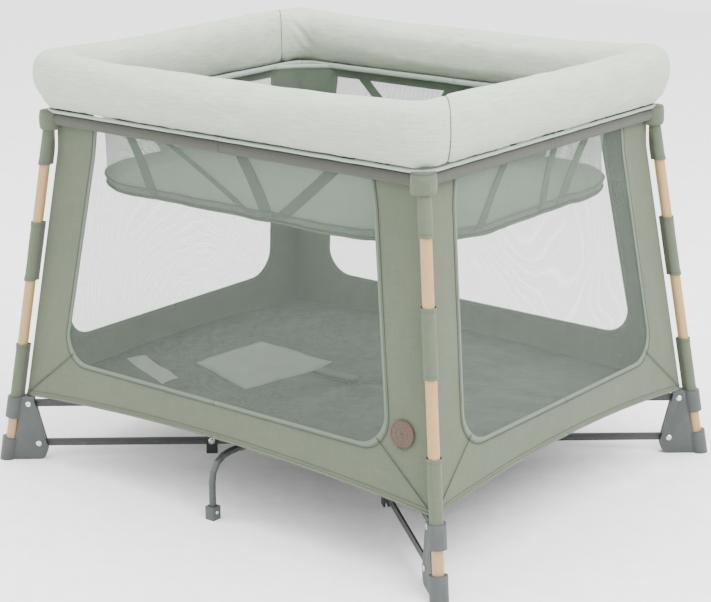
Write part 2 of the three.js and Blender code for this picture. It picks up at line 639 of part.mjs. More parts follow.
// A wall's outline in its own plane: x along the side, y up the slope from the ground.
function wallOutline(halfAt, slope) {
  const up = (z) => z / slope;
  const corner = halfAt(WALL_CORNER_Z) - WALL_END_GAP;
  const top = halfAt(WALL_TOP_Z) - WALL_END_GAP;
  const outline = new THREE.Shape();
  outline.moveTo(-corner, up(WALL_CORNER_Z));
  outline.quadraticCurveTo(0, up(WALL_CORNER_Z + 2 * WALL_MID_RISE), corner, up(WALL_CORNER_Z));
  outline.lineTo(top, up(WALL_TOP_Z));
  outline.lineTo(-top, up(WALL_TOP_Z));
  outline.closePath();
  return outline;
}

function windowOutline(topHalf, bottomHalf, slope, grow) {
  const low = WINDOW_BOTTOM_Z / slope - grow;
  const high = WINDOW_TOP_Z / slope + grow;
  const bottom = bottomHalf + grow;
  const top = topHalf + grow;
  const r = WINDOW_CORNER_R;
  const side = bottom + (top - bottom) * r / (high - low);
  const outline = new THREE.Shape();
  outline.moveTo(-bottom + r, low);
  outline.lineTo(bottom - r, low);
  outline.quadraticCurveTo(bottom, low, side, low + r);
  outline.lineTo(top, high);
  outline.lineTo(-top, high);
  outline.lineTo(-side, low + r);
  outline.quadraticCurveTo(-bottom, low, -bottom + r, low);
  return outline;
}

// A fabric wall with its thin see-through window, standing in the X-Z plane before it is leaned.
function wallPanel(halfAt, lean, topHalf, bottomHalf) {
  const slope = Math.cos(Math.atan(lean));
  const cloth = solid(uprightPlate(wallOutline(halfAt, slope), WALL_T, 16));
  const opening = solid(uprightPlate(windowOutline(topHalf, bottomHalf, slope, 0), 4 * WALL_T, 6));
  const netting = windowOutline(topHalf, bottomHalf, slope, WINDOW_LAP);
  const mesh = solid(uprightPlate(netting, MESH_T, 6));
  const geometry = geometryOf(cloth.subtract(opening).add(mesh));
  geometry.rotateX(-Math.atan(lean));
  return geometry;
}

function groundFloor() {
  const halfX = legX(FLOOR_Z + FLOOR_T) - WALL_INSET - WALL_T;
  const halfY = legY(FLOOR_Z + FLOOR_T) - WALL_INSET - WALL_T;
  const outline = roundedRectangle(halfX, halfY, FLOOR_CORNER_R);
  const hole = new THREE.Path();
  const hx = STRAP_T + STRAP_HOLE_MARGIN;
  const hy = STRAP_W / 2 + STRAP_HOLE_MARGIN;
  hole.moveTo(-hx, -hy);
  hole.lineTo(-hx, hy);
  hole.lineTo(hx, hy);
  hole.lineTo(hx, -hy);
  hole.closePath();
  outline.holes.push(hole);
  const geometry = new THREE.ExtrudeGeometry(outline, {
    depth: FLOOR_T, bevelEnabled: false, curveSegments: 6,
  });
  geometry.translate(0, 0, FLOOR_Z);
  return geometry;
}

// The rim's section: how far out from the leg axes, and how far up from its underside.
function rimSection() {
  return RIM_PROFILE.map(([out, up]) => [out * (out > 0 ? RIM_OUT : RIM_IN), up * RIM_H]);
}

// One side of the rim, from mitre to mitre. The corner turns on an arc whose centre is inside.
function rimPad(halfLength, halfDepth) {
  const bottom = CAP_TOP_Z + RIM_CLEAR;
  const radius = RIM_OUTER_CORNER_R - RIM_OUT;
  const centreX = halfLength - radius;
  const centreY = halfDepth - radius;
  const arcSteps = RIM_CORNER_STEPS;
  const stations = [];
  for (let i = 0; i <= arcSteps; i += 1) {
    const turn = (i / arcSteps) * (Math.PI / 4);
    stations.push({ x: centreX, turn, back: arcSteps - i });
  }
  const ring = ({ x, turn, back }, side) => rimSection().map(([out, up]) => {
    const reach = radius + out;
    const inside = reach < 0;
    const along = inside ? x + reach - back : x + reach * Math.sin(turn);
    const away = inside ? centreY + reach : centreY + reach * Math.cos(turn);
    return [side * along, -away, bottom + up];
  });
  const end = Math.PI / 4;
  const inset = GAP / Math.sin(end);
  const trimmed = stations.map((s) => ({ ...s, x: s.x - inset }));
  const rings = [
    ...trimmed.slice().reverse().map((s) => ring(s, -1)),
    ...trimmed.map((s) => ring(s, 1)),
  ];
  return loft(rings);
}

// A tub with rounded corners, drawn as an outer skin that turns in over its top edge.
function bassinet() {
  const corner = BASSINET_CORNER_STEPS;
  const topX = legX(BASSINET_TOP_Z) - BASSINET_TOP_INSET;
  const topY = legY(BASSINET_TOP_Z) - BASSINET_TOP_INSET;
  const ring = (halfX, halfY, radius, z) => {
    const points = [];
    const centres = [[1, 1, 0], [-1, 1, 1], [-1, -1, 2], [1, -1, 3]];
    for (const [sx, sy, quarter] of centres) {
      for (let i = 0; i <= corner; i += 1) {
        const angle = (quarter + i / corner) * (Math.PI / 2);
        const cx = sx * (halfX - radius);
        const cy = sy * (halfY - radius);
        points.push([cx + radius * Math.cos(angle), cy + radius * Math.sin(angle), z]);
      }
    }
    return points;
  };
  const r = BASSINET_CORNER_R;
  const t = BASSINET_WALL_T;
  const inner = r - t;
  const baseX = legX(BASSINET_FLOOR_Z) - BASSINET_BASE_IN_X;
  const baseY = legY(BASSINET_FLOOR_Z) - BASSINET_BASE_IN_Y;
  const tuck = BASSINET_BASE_TUCK;
  const padZ = BASSINET_FLOOR_Z + BASSINET_FLOOR_T;
  return loft([
    ring(baseX - t, baseY - t, inner, padZ),
    ring(topX - t, topY - t, inner, BASSINET_TOP_Z),
    ring(topX, topY, r, BASSINET_TOP_Z),
    ring(baseX, baseY, r, padZ),
    ring(baseX - tuck, baseY - tuck, r - tuck, BASSINET_FLOOR_Z),
  ]);
}

// The pull strap comes up through the floor, lies towards -X and turns back on itself.
function pullStrap() {
  const start = PLUNGER_TOP_Z + PLUNGER_EYE_H + GAP;
  const top = FLOOR_Z + FLOOR_T + STRAP_T / 2 + STRAP_LIFT;
  const bends = [
    ...STRAP_RISE_BENDS,
    ...STRAP_TURN_BENDS.map(([along, above]) => [along - STRAP_REACH, above]),
    ...STRAP_BACK_BENDS,
  ];
  const places = bends.map(([along, above]) => new THREE.Vector3(along, top + above, 0));
  const first = new THREE.Vector3(0, start, 0);
  const line = new THREE.CatmullRomCurve3([first, ...places], false, 'centripetal');
  const steps = STRAP_STEPS;
  const outer = [];
  const inner = [];
  for (let i = 0; i <= steps; i += 1) {
    const at = line.getPointAt(i / steps);
    const along = line.getTangentAt(i / steps);
    outer.push([at.x - along.y * STRAP_T / 2, at.y + along.x * STRAP_T / 2]);
    inner.push([at.x + along.y * STRAP_T / 2, at.y - along.x * STRAP_T / 2]);
  }
  return uprightPlate(polygon([...outer, ...inner.reverse()]), STRAP_W);
}

function badge() {
  const lean = Math.atan(LEAN_Y);
  const geometry = new THREE.CylinderGeometry(BADGE_R, BADGE_R, BADGE_T, ROUND_SIDES + 4);
  const outside = WALL_INSET - WALL_T / 2 - GAP - BADGE_T / 2;
  geometry.rotateX(-lean);
  const away = legY(BADGE_Z) - outside / Math.cos(lean);
  geometry.translate(legX(BADGE_Z) - BADGE_IN, -away, BADGE_Z);
  return geometry;
}

// ---- Assembly -----------------------------------------------------------------------------------

const yard = new THREE.Group();
yard.name = 'travel_play_yard';

for (const { name, sx, sy } of CORNERS) {
  const corner = new THREE.Group();
  corner.rotation.z = Math.atan2(sy * FOOT_Y, sx * FOOT_X);
  corner.add(named(`leg_tube_${name}`, legTube(), beech));
  corner.add(named(`foot_bracket_${name}`, footBracket(), greyPlastic));
  corner.add(named(`lower_link_${name}`, linkBar(0, LOW_PIVOT_Z), steel));
  corner.add(named(`upper_link_${name}`, linkBar(HIGH_PIVOT_OUT, HIGH_PIVOT_Z), steel));
  corner.add(named(`link_knuckle_${name}`, knuckle(), blackPlastic));
  const [lowPlace, highPlace] = rivetPlaces();
  corner.add(named(`lower_rivet_${name}`, footRivet(lowPlace), rivetSteel));
  corner.add(named(`upper_rivet_${name}`, footRivet(highPlace), rivetSteel));
  yard.add(corner);

  const cap = named(`corner_cap_${name}`, mirrored(cornerCap(), sx, sy), greyPlastic);
  yard.add(cap);

  const longRail = named(`long_rail_${name}`, halfRail(LONG_RAIL), steel);
  longRail.position.set(sx * (legX(RAIL_PIVOT_Z) - RAIL_INSET), sy * legY(RAIL_Z), RAIL_PIVOT_Z);
  longRail.rotation.z = sx > 0 ? Math.PI : 0;
  const shortRail = named(`short_rail_${name}`, halfRail(SHORT_RAIL), steel);
  shortRail.position.set(sx * legX(RAIL_Z), sy * (legY(RAIL_PIVOT_Z) - RAIL_INSET), RAIL_PIVOT_Z);
  shortRail.rotation.z = sy > 0 ? -Math.PI / 2 : Math.PI / 2;
  yard.add(longRail, shortRail);
}

// A copy of a geometry reflected in X or Y, with its faces still pointing out.
function mirrored(geometry, sx, sy) {
  const copy = geometry.clone();
  copy.scale(sx, sy, 1);
  if (sx * sy < 0) {
    const index = copy.index.array;
    for (let i = 0; i < index.length; i += 3) {
      [index[i], index[i + 1]] = [index[i + 1], index[i]];
    }
  }
  copy.computeVertexNormals();
  return copy;
}

yard.add(named('hub_body', hubBody(), greyPlastic));
yard.add(named('hub_cover', hubCover(), greyPlastic));
yard.add(named('release_plunger', releasePlunger(), blackPlastic));
for (const [word, side] of [['front', -1], ['back', 1]]) {
  yard.add(named(`support_tube_${word}`, supportTube(side), tubeGrey));
  yard.add(named(`tube_foot_${word}`, tubeFoot(side), greyPlastic));
}

const halfLong = (z) => legX(z) - WALL_INSET;
const halfShort = (z) => legY(z) - WALL_INSET;
const walls = [
  ['front', 0, halfLong, LEAN_Y, FOOT_Y, POST_TOP_LONG, POST_BOTTOM_LONG],
  ['right', 1, halfShort, LEAN_X, FOOT_X, POST_TOP_SHORT, POST_BOTTOM_SHORT],
  ['back', 2, halfLong, LEAN_Y, FOOT_Y, POST_TOP_LONG, POST_BOTTOM_LONG],
  ['left', 3, halfShort, LEAN_X, FOOT_X, POST_TOP_SHORT, POST_BOTTOM_SHORT],
];
for (const [word, quarter, halfAt, lean, footAway, topPost, bottomPost] of walls) {
  const topHalf = halfAt(WINDOW_TOP_Z) - topPost;
  const bottomHalf = halfAt(WINDOW_BOTTOM_Z) - bottomPost;
  const wall = named(`wall_${word}`, wallPanel(halfAt, lean, topHalf, bottomHalf), sageFabric);
  wall.position.y = -(footAway - WALL_INSET);
  const turned = new THREE.Group();
  turned.rotation.z = quarter * Math.PI / 2;
  turned.add(wall);
  yard.add(turned);
}

for (const [word, quarter] of [['front', 0], ['right', 1], ['back', 2], ['left', 3]]) {
  const isLong = quarter % 2 === 0;
  const along = isLong ? legX(CAP_TOP_Z) : legY(CAP_TOP_Z);
  const away = isLong ? legY(CAP_TOP_Z) : legX(CAP_TOP_Z);
  const pad = named(`rim_pad_${word}`, rimPad(along, away), rimFabric);
  pad.rotation.z = quarter * Math.PI / 2;
  yard.add(pad);
}

yard.add(named('floor_sheet', groundFloor(), floorFabric));
yard.add(named('bassinet', bassinet(), bassinetMesh));
yard.add(named('pull_strap', pullStrap(), webbing));
yard.add(named('badge', badge(), leather));

export default yard;
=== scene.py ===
import json
import math

import bmesh
import bpy
from mathutils import Matrix, Vector, noise


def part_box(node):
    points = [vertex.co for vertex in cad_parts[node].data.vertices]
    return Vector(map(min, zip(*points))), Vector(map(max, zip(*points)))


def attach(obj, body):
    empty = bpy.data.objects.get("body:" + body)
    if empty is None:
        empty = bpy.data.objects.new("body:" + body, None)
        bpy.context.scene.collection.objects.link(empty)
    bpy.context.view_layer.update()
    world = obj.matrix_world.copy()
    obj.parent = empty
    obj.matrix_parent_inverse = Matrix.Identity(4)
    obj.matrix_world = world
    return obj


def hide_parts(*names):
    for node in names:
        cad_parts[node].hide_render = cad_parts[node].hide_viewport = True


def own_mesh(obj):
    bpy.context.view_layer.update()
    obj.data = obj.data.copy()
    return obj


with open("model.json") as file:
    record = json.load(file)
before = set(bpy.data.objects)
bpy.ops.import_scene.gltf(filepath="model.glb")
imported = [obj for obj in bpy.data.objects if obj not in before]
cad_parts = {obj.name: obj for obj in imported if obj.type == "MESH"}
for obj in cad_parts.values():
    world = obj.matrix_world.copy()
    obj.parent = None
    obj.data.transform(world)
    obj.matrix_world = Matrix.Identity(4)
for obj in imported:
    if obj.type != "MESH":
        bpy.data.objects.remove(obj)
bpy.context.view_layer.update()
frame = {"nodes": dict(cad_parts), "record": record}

JOINTS = {j["name"]: j for j in frame["record"]["behaviour"]["joints"]}

# ---- Sizes of the sewn and moulded pieces, in metres ---------------------------------------------

LEG_RADIUS = 0.0103
WALL_INSET = 0.015          # the cloth wall stands this far inside the leg axes
WALL_TOP_INSET = 0.0105     # and this far where it wraps the top rail
WALL_FOOT_Z = 0.134
WALL_RISE = 0.024           # the lower hem arches up by this in the middle
WALL_TOP_Z = 0.684
WINDOW_SILL_Z = 0.225
WINDOW_CORNER = 0.055
WINDOW_LONG = (0.3870, 0.3255)    # half widths at the sill's height and at the top rail
WINDOW_SHORT = (0.3030, 0.2610)
HEM_RADIUS = 0.0015
BAND_RADIUS = 0.0114
BAND_Z = 0.6900
CAP_RADIUS = 0.0222
TRIM_RADIUS = 0.0034
SLEEVES = ((0.600, 0.678), (0.370, 0.487), (0.126, 0.240))
SLEEVE_RADIUS = 0.0122
FLOOR_HEIGHT = 0.1475
BASSINET_TOP = 0.706
BASSINET_HEM = 0.578
BASSINET_BASE = 0.556
BASSINET_HALF = ((0.4275, 0.3485), (0.4320, 0.3360))   # half sizes at the top and at the base
BASSINET_CORNER = 0.180
STITCH_GAP = 0.0042
STITCH_LENGTH = 0.0028
THREAD_RADIUS = 0.0004
KNUCKLE_HALF = 0.0060       # from the middle of a knuckle to the outside of its cheeks
FLANGE_AT = 0.325           # the support tube's flange stands this far out from the middle
SHOE_SCREW_Z = 0.015

CORNERS = {"front_left": (-1, -1), "front_right": (1, -1), "back_right": (1, 1), "back_left": (-1, 1)}


# ---- Places worked out from the frame ------------------------------------------------------------

def leg_line():
    """The right-hand front leg's axis: its distance out along X and Y at two heights."""
    low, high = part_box("leg_tube_front_right")
    r = LEG_RADIUS
    return (low[2], high[0] - r, -low[1] - r), (high[2], low[0] + r, -high[1] + r)


LEG_LOW, LEG_HIGH = leg_line()


def leg_out(z):
    """How far out a leg's axis stands along X and Y at a height."""
    t = (z - LEG_LOW[0]) / (LEG_HIGH[0] - LEG_LOW[0])
    return LEG_LOW[1] + (LEG_HIGH[1] - LEG_LOW[1]) * t, LEG_LOW[2] + (LEG_HIGH[2] - LEG_LOW[2]) * t


def fold_travel():
    """How far each leg comes in along X and Y when the yard folds, from the arm's pins."""
    outer, inner = Vector(JOINTS["fold"]["pos_m"]), Vector(JOINTS["hub_level"]["pos_m"])
    angle = math.radians(JOINTS["fold"]["range_deg"][1])
    arm = outer - inner
    return abs(arm.x) * (1 - math.cos(angle)), abs(arm.y) * (1 - math.cos(angle))


TRAVEL_X, TRAVEL_Y = fold_travel()


def smooth(t):
    """Eases from 0 to 1."""
    t = min(max(t, 0.0), 1.0)
    return t * t * (3 - 2 * t)


def wall_inset(z):
    """How far inside the leg axes the wall's cloth stands at a height."""
    return WALL_INSET + (WALL_TOP_INSET - WALL_INSET) * smooth((z - 0.62) / (WALL_TOP_Z - 0.62))


def spline(a, b, c, d, t):
    """A smooth curve's point between b and c, with its neighbours a and d."""
    square = (2 * a - 5 * b + 4 * c - d) * t * t
    cube = (3 * b - a - 3 * c + d) * t ** 3
    return 0.5 * ((2 * b) + (c - a) * t + square + cube)


def ripple(p, size, seed):
    """Smooth noise from -1 to 1 at a point, with features of about the given size."""
    return noise.noise(Vector(p) / size + Vector((seed, 2.7 * seed, -1.3 * seed)))


# ---- Materials -----------------------------------------------------------------------------------

def new_material(name):
    material = bpy.data.materials.new(name)
    material.use_nodes = True
    return material, material.node_tree, material.node_tree.nodes["Principled BSDF"]


def put(tree, kind, inputs=None, **settings):
    """Adds a node, sets it up, and links or fills in its inputs."""
    node = tree.nodes.new(kind)
    for key, value in settings.items():
        setattr(node, key, value)
    for key, value in (inputs or {}).items():
        if isinstance(value, bpy.types.NodeSocket):
            tree.links.new(value, node.inputs[key])
        else:
            node.inputs[key].default_value = value
    return node


def math_node(tree, operation, *values, clamp=False):
    node = tree.nodes.new("ShaderNodeMath")
    node.operation = operation
    node.use_clamp = clamp
    for i, value in enumerate(values):
        if isinstance(value, bpy.types.NodeSocket):
            tree.links.new(value, node.inputs[i])
        else:
            node.inputs[i].default_value = value
    return node.outputs[0]


def times(tree, value, factor, plus=None):
    """The value times a factor, with something added if plus is given."""
    if plus is None:
        return math_node(tree, "MULTIPLY", value, factor)
    return math_node(tree, "MULTIPLY_ADD", value, factor, plus)


def blend_colour(tree, share, first, second):
    node = tree.nodes.new("ShaderNodeMix")
    node.data_type = "RGBA"
    for key, value in ((0, share), (6, first), (7, second)):
        if isinstance(value, bpy.types.NodeSocket):
            tree.links.new(value, node.inputs[key])
        else:
            node.inputs[key].default_value = value if key == 0 else (*value, 1)
    return node.outputs[2]


def place(tree, scale=(1, 1, 1), uv=False):
    """The piece's own coordinates or its UV, in metres, scaled."""
    source = put(tree, "ShaderNodeTexCoord")
    mapping = put(tree, "ShaderNodeMapping", {"Scale": scale})
    tree.links.new(source.outputs["UV" if uv else "Object"], mapping.inputs["Vector"])
    return mapping.outputs[0]


def soft_noise(tree, where, scale, detail=3.0, roughness=0.55):
    values = {"Vector": where, "Scale": scale, "Detail": detail, "Roughness": roughness}
    return put(tree, "ShaderNodeTexNoise", values).outputs["Fac"]


def colour_and_roughness(tree, shader, colour, roughness):
    tree.links.new(colour, shader.inputs["Base Color"])
    tree.links.new(roughness, shader.inputs["Roughness"])


def bump(tree, shader, height, strength, distance, before=None):
    """Adds relief to a finish, on top of the relief before it."""
    node = put(tree, "ShaderNodeBump", {"Height": height, "Strength": strength, "Distance": distance})
    if before:
        tree.links.new(before, node.inputs["Normal"])
    tree.links.new(node.outputs[0], shader.inputs["Normal"])
    return node.outputs[0]


def weave_height(tree, pitch):
    """Over-and-under threads of a plain weave, from the piece's own UV in metres."""
    where = place(tree, uv=True)
    split = put(tree, "ShaderNodeSeparateXYZ", {"Vector": where})
    k = 2 * math.pi / pitch
    across = math_node(tree, "SINE", times(tree, split.outputs[0], k))
    along = math_node(tree, "SINE", times(tree, split.outputs[1], k))
    return times(tree, times(tree, across, along), 0.5, 0.5)


def cloth_material(name, dark, light, pitch, melange, sheen=0.12, crease=0.0, slub=0.5):
    """Woven cloth: melange threads, a plain weave in relief, painted shade in its pits and slow colour
    patches.
    """
    material, tree, shader = new_material(name)
    weave = weave_height(tree, pitch)
    lengthwise = soft_noise(tree, place(tree, (22, 420, 1), uv=True), 1.0, 2.0)
    crosswise = soft_noise(tree, place(tree, (420, 22, 1), uv=True), 1.0, 2.0)
    threads = math_node(tree, "ADD", times(tree, lengthwise, slub), times(tree, crosswise, 1 - slub))
    patches = soft_noise(tree, place(tree), 5.0, 4.0)
    share = times(tree, math_node(tree, "SUBTRACT", threads, 0.5), 3.2 * melange, 0.5)
    drift = times(tree, math_node(tree, "SUBTRACT", patches, 0.5), 0.5)
    share = math_node(tree, "ADD", share, drift, clamp=True)
    colour = blend_colour(tree, share, dark, light)
    # painted shade: the colour is darkened where the weave is low, in the pits between threads
    pit_shade = times(tree, weave, 0.16, 0.88)
    shade = put(tree, "ShaderNodeMix", {0: 1.0}, data_type="RGBA", blend_type="MULTIPLY")
    grey = put(tree, "ShaderNodeCombineColor", {"Red": pit_shade, "Green": pit_shade, "Blue": pit_shade})
    tree.links.new(colour, shade.inputs[6])
    tree.links.new(grey.outputs[0], shade.inputs[7])
    tree.links.new(shade.outputs[2], shader.inputs["Base Color"])
    rough = times(tree, patches, 0.12, 0.80)
    tree.links.new(rough, shader.inputs["Roughness"])
    shader.inputs["Sheen Weight"].default_value = sheen
    shader.inputs["Sheen Roughness"].default_value = 0.5
    shader.inputs["Specular IOR Level"].default_value = 0.25
    soft = bump(tree, shader, soft_noise(tree, place(tree), 38.0, 3.0), 0.25, 0.004)
    if crease:
        folds = soft_noise(tree, place(tree, (1, 1, 0.5)), 9.0, 5.0, 0.6)
        soft = bump(tree, shader, folds, crease, 0.02, soft)
    bump(tree, shader, weave, 0.35, 0.0005, soft)
    return material


def net_material(name, dark, light, pitch, thread):
    """Knitted netting: slanting threads with open holes between them."""
    material, tree, shader = new_material(name)
    split = put(tree, "ShaderNodeSeparateXYZ", {"Vector": place(tree, uv=True)})
    k = math.pi / pitch
    lean = 0.62
    rows = []
    for side in (lean, -lean):
        slanted = times(tree, split.outputs[1], side, split.outputs[0])
        wave = math_node(tree, "ABSOLUTE", math_node(tree, "SINE", times(tree, slanted, k)))
        rows.append(math_node(tree, "LESS_THAN", wave, math.sin(math.pi * thread / 2)))
    solid = math_node(tree, "MAXIMUM", rows[0], rows[1])
    tree.links.new(solid, shader.inputs["Alpha"])
    tint = blend_colour(tree, soft_noise(tree, place(tree), 30.0), dark, light)
    tree.links.new(tint, shader.inputs["Base Color"])
    worn = times(tree, soft_noise(tree, place(tree), 60.0), 0.2, 0.6)
    tree.links.new(worn, shader.inputs["Roughness"])
    shader.inputs["Sheen Weight"].default_value = 0.2
    return material


def beech_material():
    """Beech-look skin: fine grain along the leg, small flecks and a satin coat."""
    material, tree, shader = new_material("beech_skin")
    where = place(tree, (1, 1, 0.045))
    grain = soft_noise(tree, where, 420.0, 4.0, 0.6)
    broad = soft_noise(tree, place(tree, (1, 1, 0.06)), 70.0, 2.0)
    fleck_noise = soft_noise(tree, place(tree, (1, 1, 0.12)), 900.0, 1.0)
    flecks = math_node(tree, "GREATER_THAN", fleck_noise, 0.68)
    share = math_node(tree, "ADD", times(tree, grain, 0.6), times(tree, broad, 0.5), clamp=True)
    wood = blend_colour(tree, share, (0.262, 0.145, 0.052), (0.400, 0.258, 0.104))
    speckled = blend_colour(tree, times(tree, flecks, 0.4), wood, (0.19, 0.105, 0.05))
    colour_and_roughness(tree, shader, speckled, times(tree, grain, 0.2, 0.36))
    shader.inputs["Coat Weight"].default_value = 0.15
    shader.inputs["Coat Roughness"].default_value = 0.35
    bump(tree, shader, grain, 0.2, 0.0006)
    return material


def moulded_material(name, colour, rough=0.5, fleck=0.06):
    """Moulded plastic with a fine spark-eroded texture, rubbed a little lighter in places."""
    material, tree, shader = new_material(name)
    grain = soft_noise(tree, place(tree), 1400.0, 2.0)
    rub = soft_noise(tree, place(tree), 22.0, 5.0, 0.65)
    light = tuple(min(c * 1.25 + 0.02, 1) for c in colour)
    dark = tuple(c * 0.85 for c in colour)
    uneven = math_node(tree, "SUBTRACT", grain, 0.5)
    share = math_node(tree, "MULTIPLY_ADD", uneven, fleck * 6, rub, clamp=True)
    tint = blend_colour(tree, share, dark, light)
    colour_and_roughness(tree, shader, tint, times(tree, rub, 0.22, rough - 0.1))
    shader.inputs["Specular IOR Level"].default_value = 0.4
    bump(tree, shader, grain, 0.3, 0.0004)
    return material


def coated_steel_material(name, colour, rough=0.42, metal=0.35):
    """Powder-coated or plated steel: slight orange peel, scuffs that show brighter."""
    material, tree, shader = new_material(name)
    peel = soft_noise(tree, place(tree), 260.0, 2.0)
    scuff = soft_noise(tree, place(tree, (1, 1, 4)), 45.0, 6.0, 0.7)
    worn = math_node(tree, "MULTIPLY", math_node(tree, "SUBTRACT", scuff, 0.56, clamp=True), 3.0, clamp=True)
    bright = tuple(min(c * 1.7 + 0.05, 1) for c in colour)
    tint = blend_colour(tree, worn, colour, bright)
    colour_and_roughness(tree, shader, tint, times(tree, scuff, 0.2, rough - 0.1))
    shader.inputs["Metallic"].default_value = metal
    bump(tree, shader, peel, 0.15, 0.0006)
    return material


def leather_material():
    """Brown vegetable leather with pores and an uneven tone."""
    material, tree, shader = new_material("badge_leather")
    pores = put(tree, "ShaderNodeTexVoronoi", {"Vector": place(tree), "Scale": 900.0}, feature="F1")
    tone = soft_noise(tree, place(tree), 60.0, 4.0)
    tint = blend_colour(tree, tone, (0.040, 0.022, 0.013), (0.085, 0.050, 0.032))
    colour_and_roughness(tree, shader, tint, times(tree, tone, 0.25, 0.45))
    bump(tree, shader, pores.outputs["Distance"], 0.35, 0.0005)
    return material


SAGE_DARK, SAGE_LIGHT = (0.067, 0.082, 0.053), (0.107, 0.127, 0.087)
sage_cloth = cloth_material("sage_cloth", SAGE_DARK, SAGE_LIGHT, 0.0012, 0.35)
rim_cloth = cloth_material(
    "rim_cloth", (0.320, 0.364, 0.292), (0.477, 0.526, 0.430), 0.0014, 0.70, sheen=0.08, slub=0.78)
band_cloth = cloth_material("band_cloth", (0.048, 0.050, 0.040), (0.071, 0.074, 0.060), 0.0010, 0.3)
floor_cloth = cloth_material(
    "floor_cloth", (0.018, 0.027, 0.017), (0.029, 0.042, 0.027), 0.0010, 0.25, crease=0.5)
base_cloth = cloth_material(
    "base_cloth", (0.059, 0.083, 0.055), (0.081, 0.111, 0.074), 0.0010, 0.25, crease=0.3)
mint_piping = cloth_material("mint_piping", (0.247, 0.307, 0.264), (0.338, 0.396, 0.344), 0.0009, 0.3)
pale_piping = cloth_material("pale_piping", (0.090, 0.118, 0.086), (0.125, 0.156, 0.116), 0.0009, 0.3)
strap_cloth = cloth_material("strap_cloth", (0.036, 0.055, 0.034), (0.059, 0.080, 0.053), 0.0016, 0.4)
label_cloth = cloth_material(
    "label_cloth", (0.221, 0.256, 0.221), (0.291, 0.326, 0.287), 0.0007, 0.2, sheen=0.05)
thread_dark = cloth_material("thread_dark", (0.023, 0.029, 0.022), (0.041, 0.049, 0.038), 0.0006, 0.2)
wall_net = net_material("wall_net", (0.110, 0.138, 0.114), (0.168, 0.209, 0.173), 0.0024, 0.13)
bassinet_net = net_material("bassinet_net", (0.074, 0.105, 0.072), (0.126, 0.167, 0.121), 0.0030, 0.30)
beech_skin = beech_material()
grey_moulding = moulded_material("grey_moulding", (0.037, 0.044, 0.043))
black_moulding = moulded_material("black_moulding", (0.012, 0.012, 0.013), 0.45)
arm_coat = coated_steel_material("arm_coat", (0.037, 0.040, 0.039))
tube_coat = coated_steel_material("tube_coat", (0.048, 0.054, 0.052), 0.38)
plated_steel = coated_steel_material("plated_steel", (0.56, 0.57, 0.57), 0.25, 1.0)
rail_coat = coated_steel_material("rail_coat", (0.17, 0.175, 0.175), 0.35, 0.8)
badge_leather = leather_material()


# ---- Mesh helpers --------------------------------------------------------------------------------

def smooth_shaded(mesh):
    mesh.polygons.foreach_set("use_smooth", [True] * len(mesh.polygons))


def new_object(name, mesh):
    piece = bpy.data.objects.new(name, mesh)
    bpy.context.scene.collection.objects.link(piece)
    return piece


def evaluated_mesh(piece):
    """A plain mesh of a piece as its modifiers leave it."""
    depsgraph = bpy.context.evaluated_depsgraph_get()
    return bpy.data.meshes.new_from_object(piece.evaluated_get(depsgraph))


def applied(piece):
    """Applies a piece's modifiers to its mesh."""
    mesh = evaluated_mesh(piece)
    piece.modifiers.clear()
    piece.data = mesh


def coat(mesh, material):
    """Gives a mesh one finish only."""
    mesh.materials.clear()
    mesh.materials.append(material)


def make_piece(name, points, faces, material, uvs=None, flat=False):
    """A piece from its points and faces, with a UV for each point."""
    mesh = bpy.data.meshes.new(name)
    mesh.from_pydata([tuple(p) for p in points], [], faces)
    if uvs:
        layer = mesh.uv_layers.new(name="UVMap")
        for loop in mesh.loops:
            layer.data[loop.index].uv = uvs[loop.vertex_index]
    mesh.materials.append(material)
    mesh.polygons.foreach_set("use_smooth", [not flat] * len(mesh.polygons))
    mesh.update()
    return new_object(name, mesh)


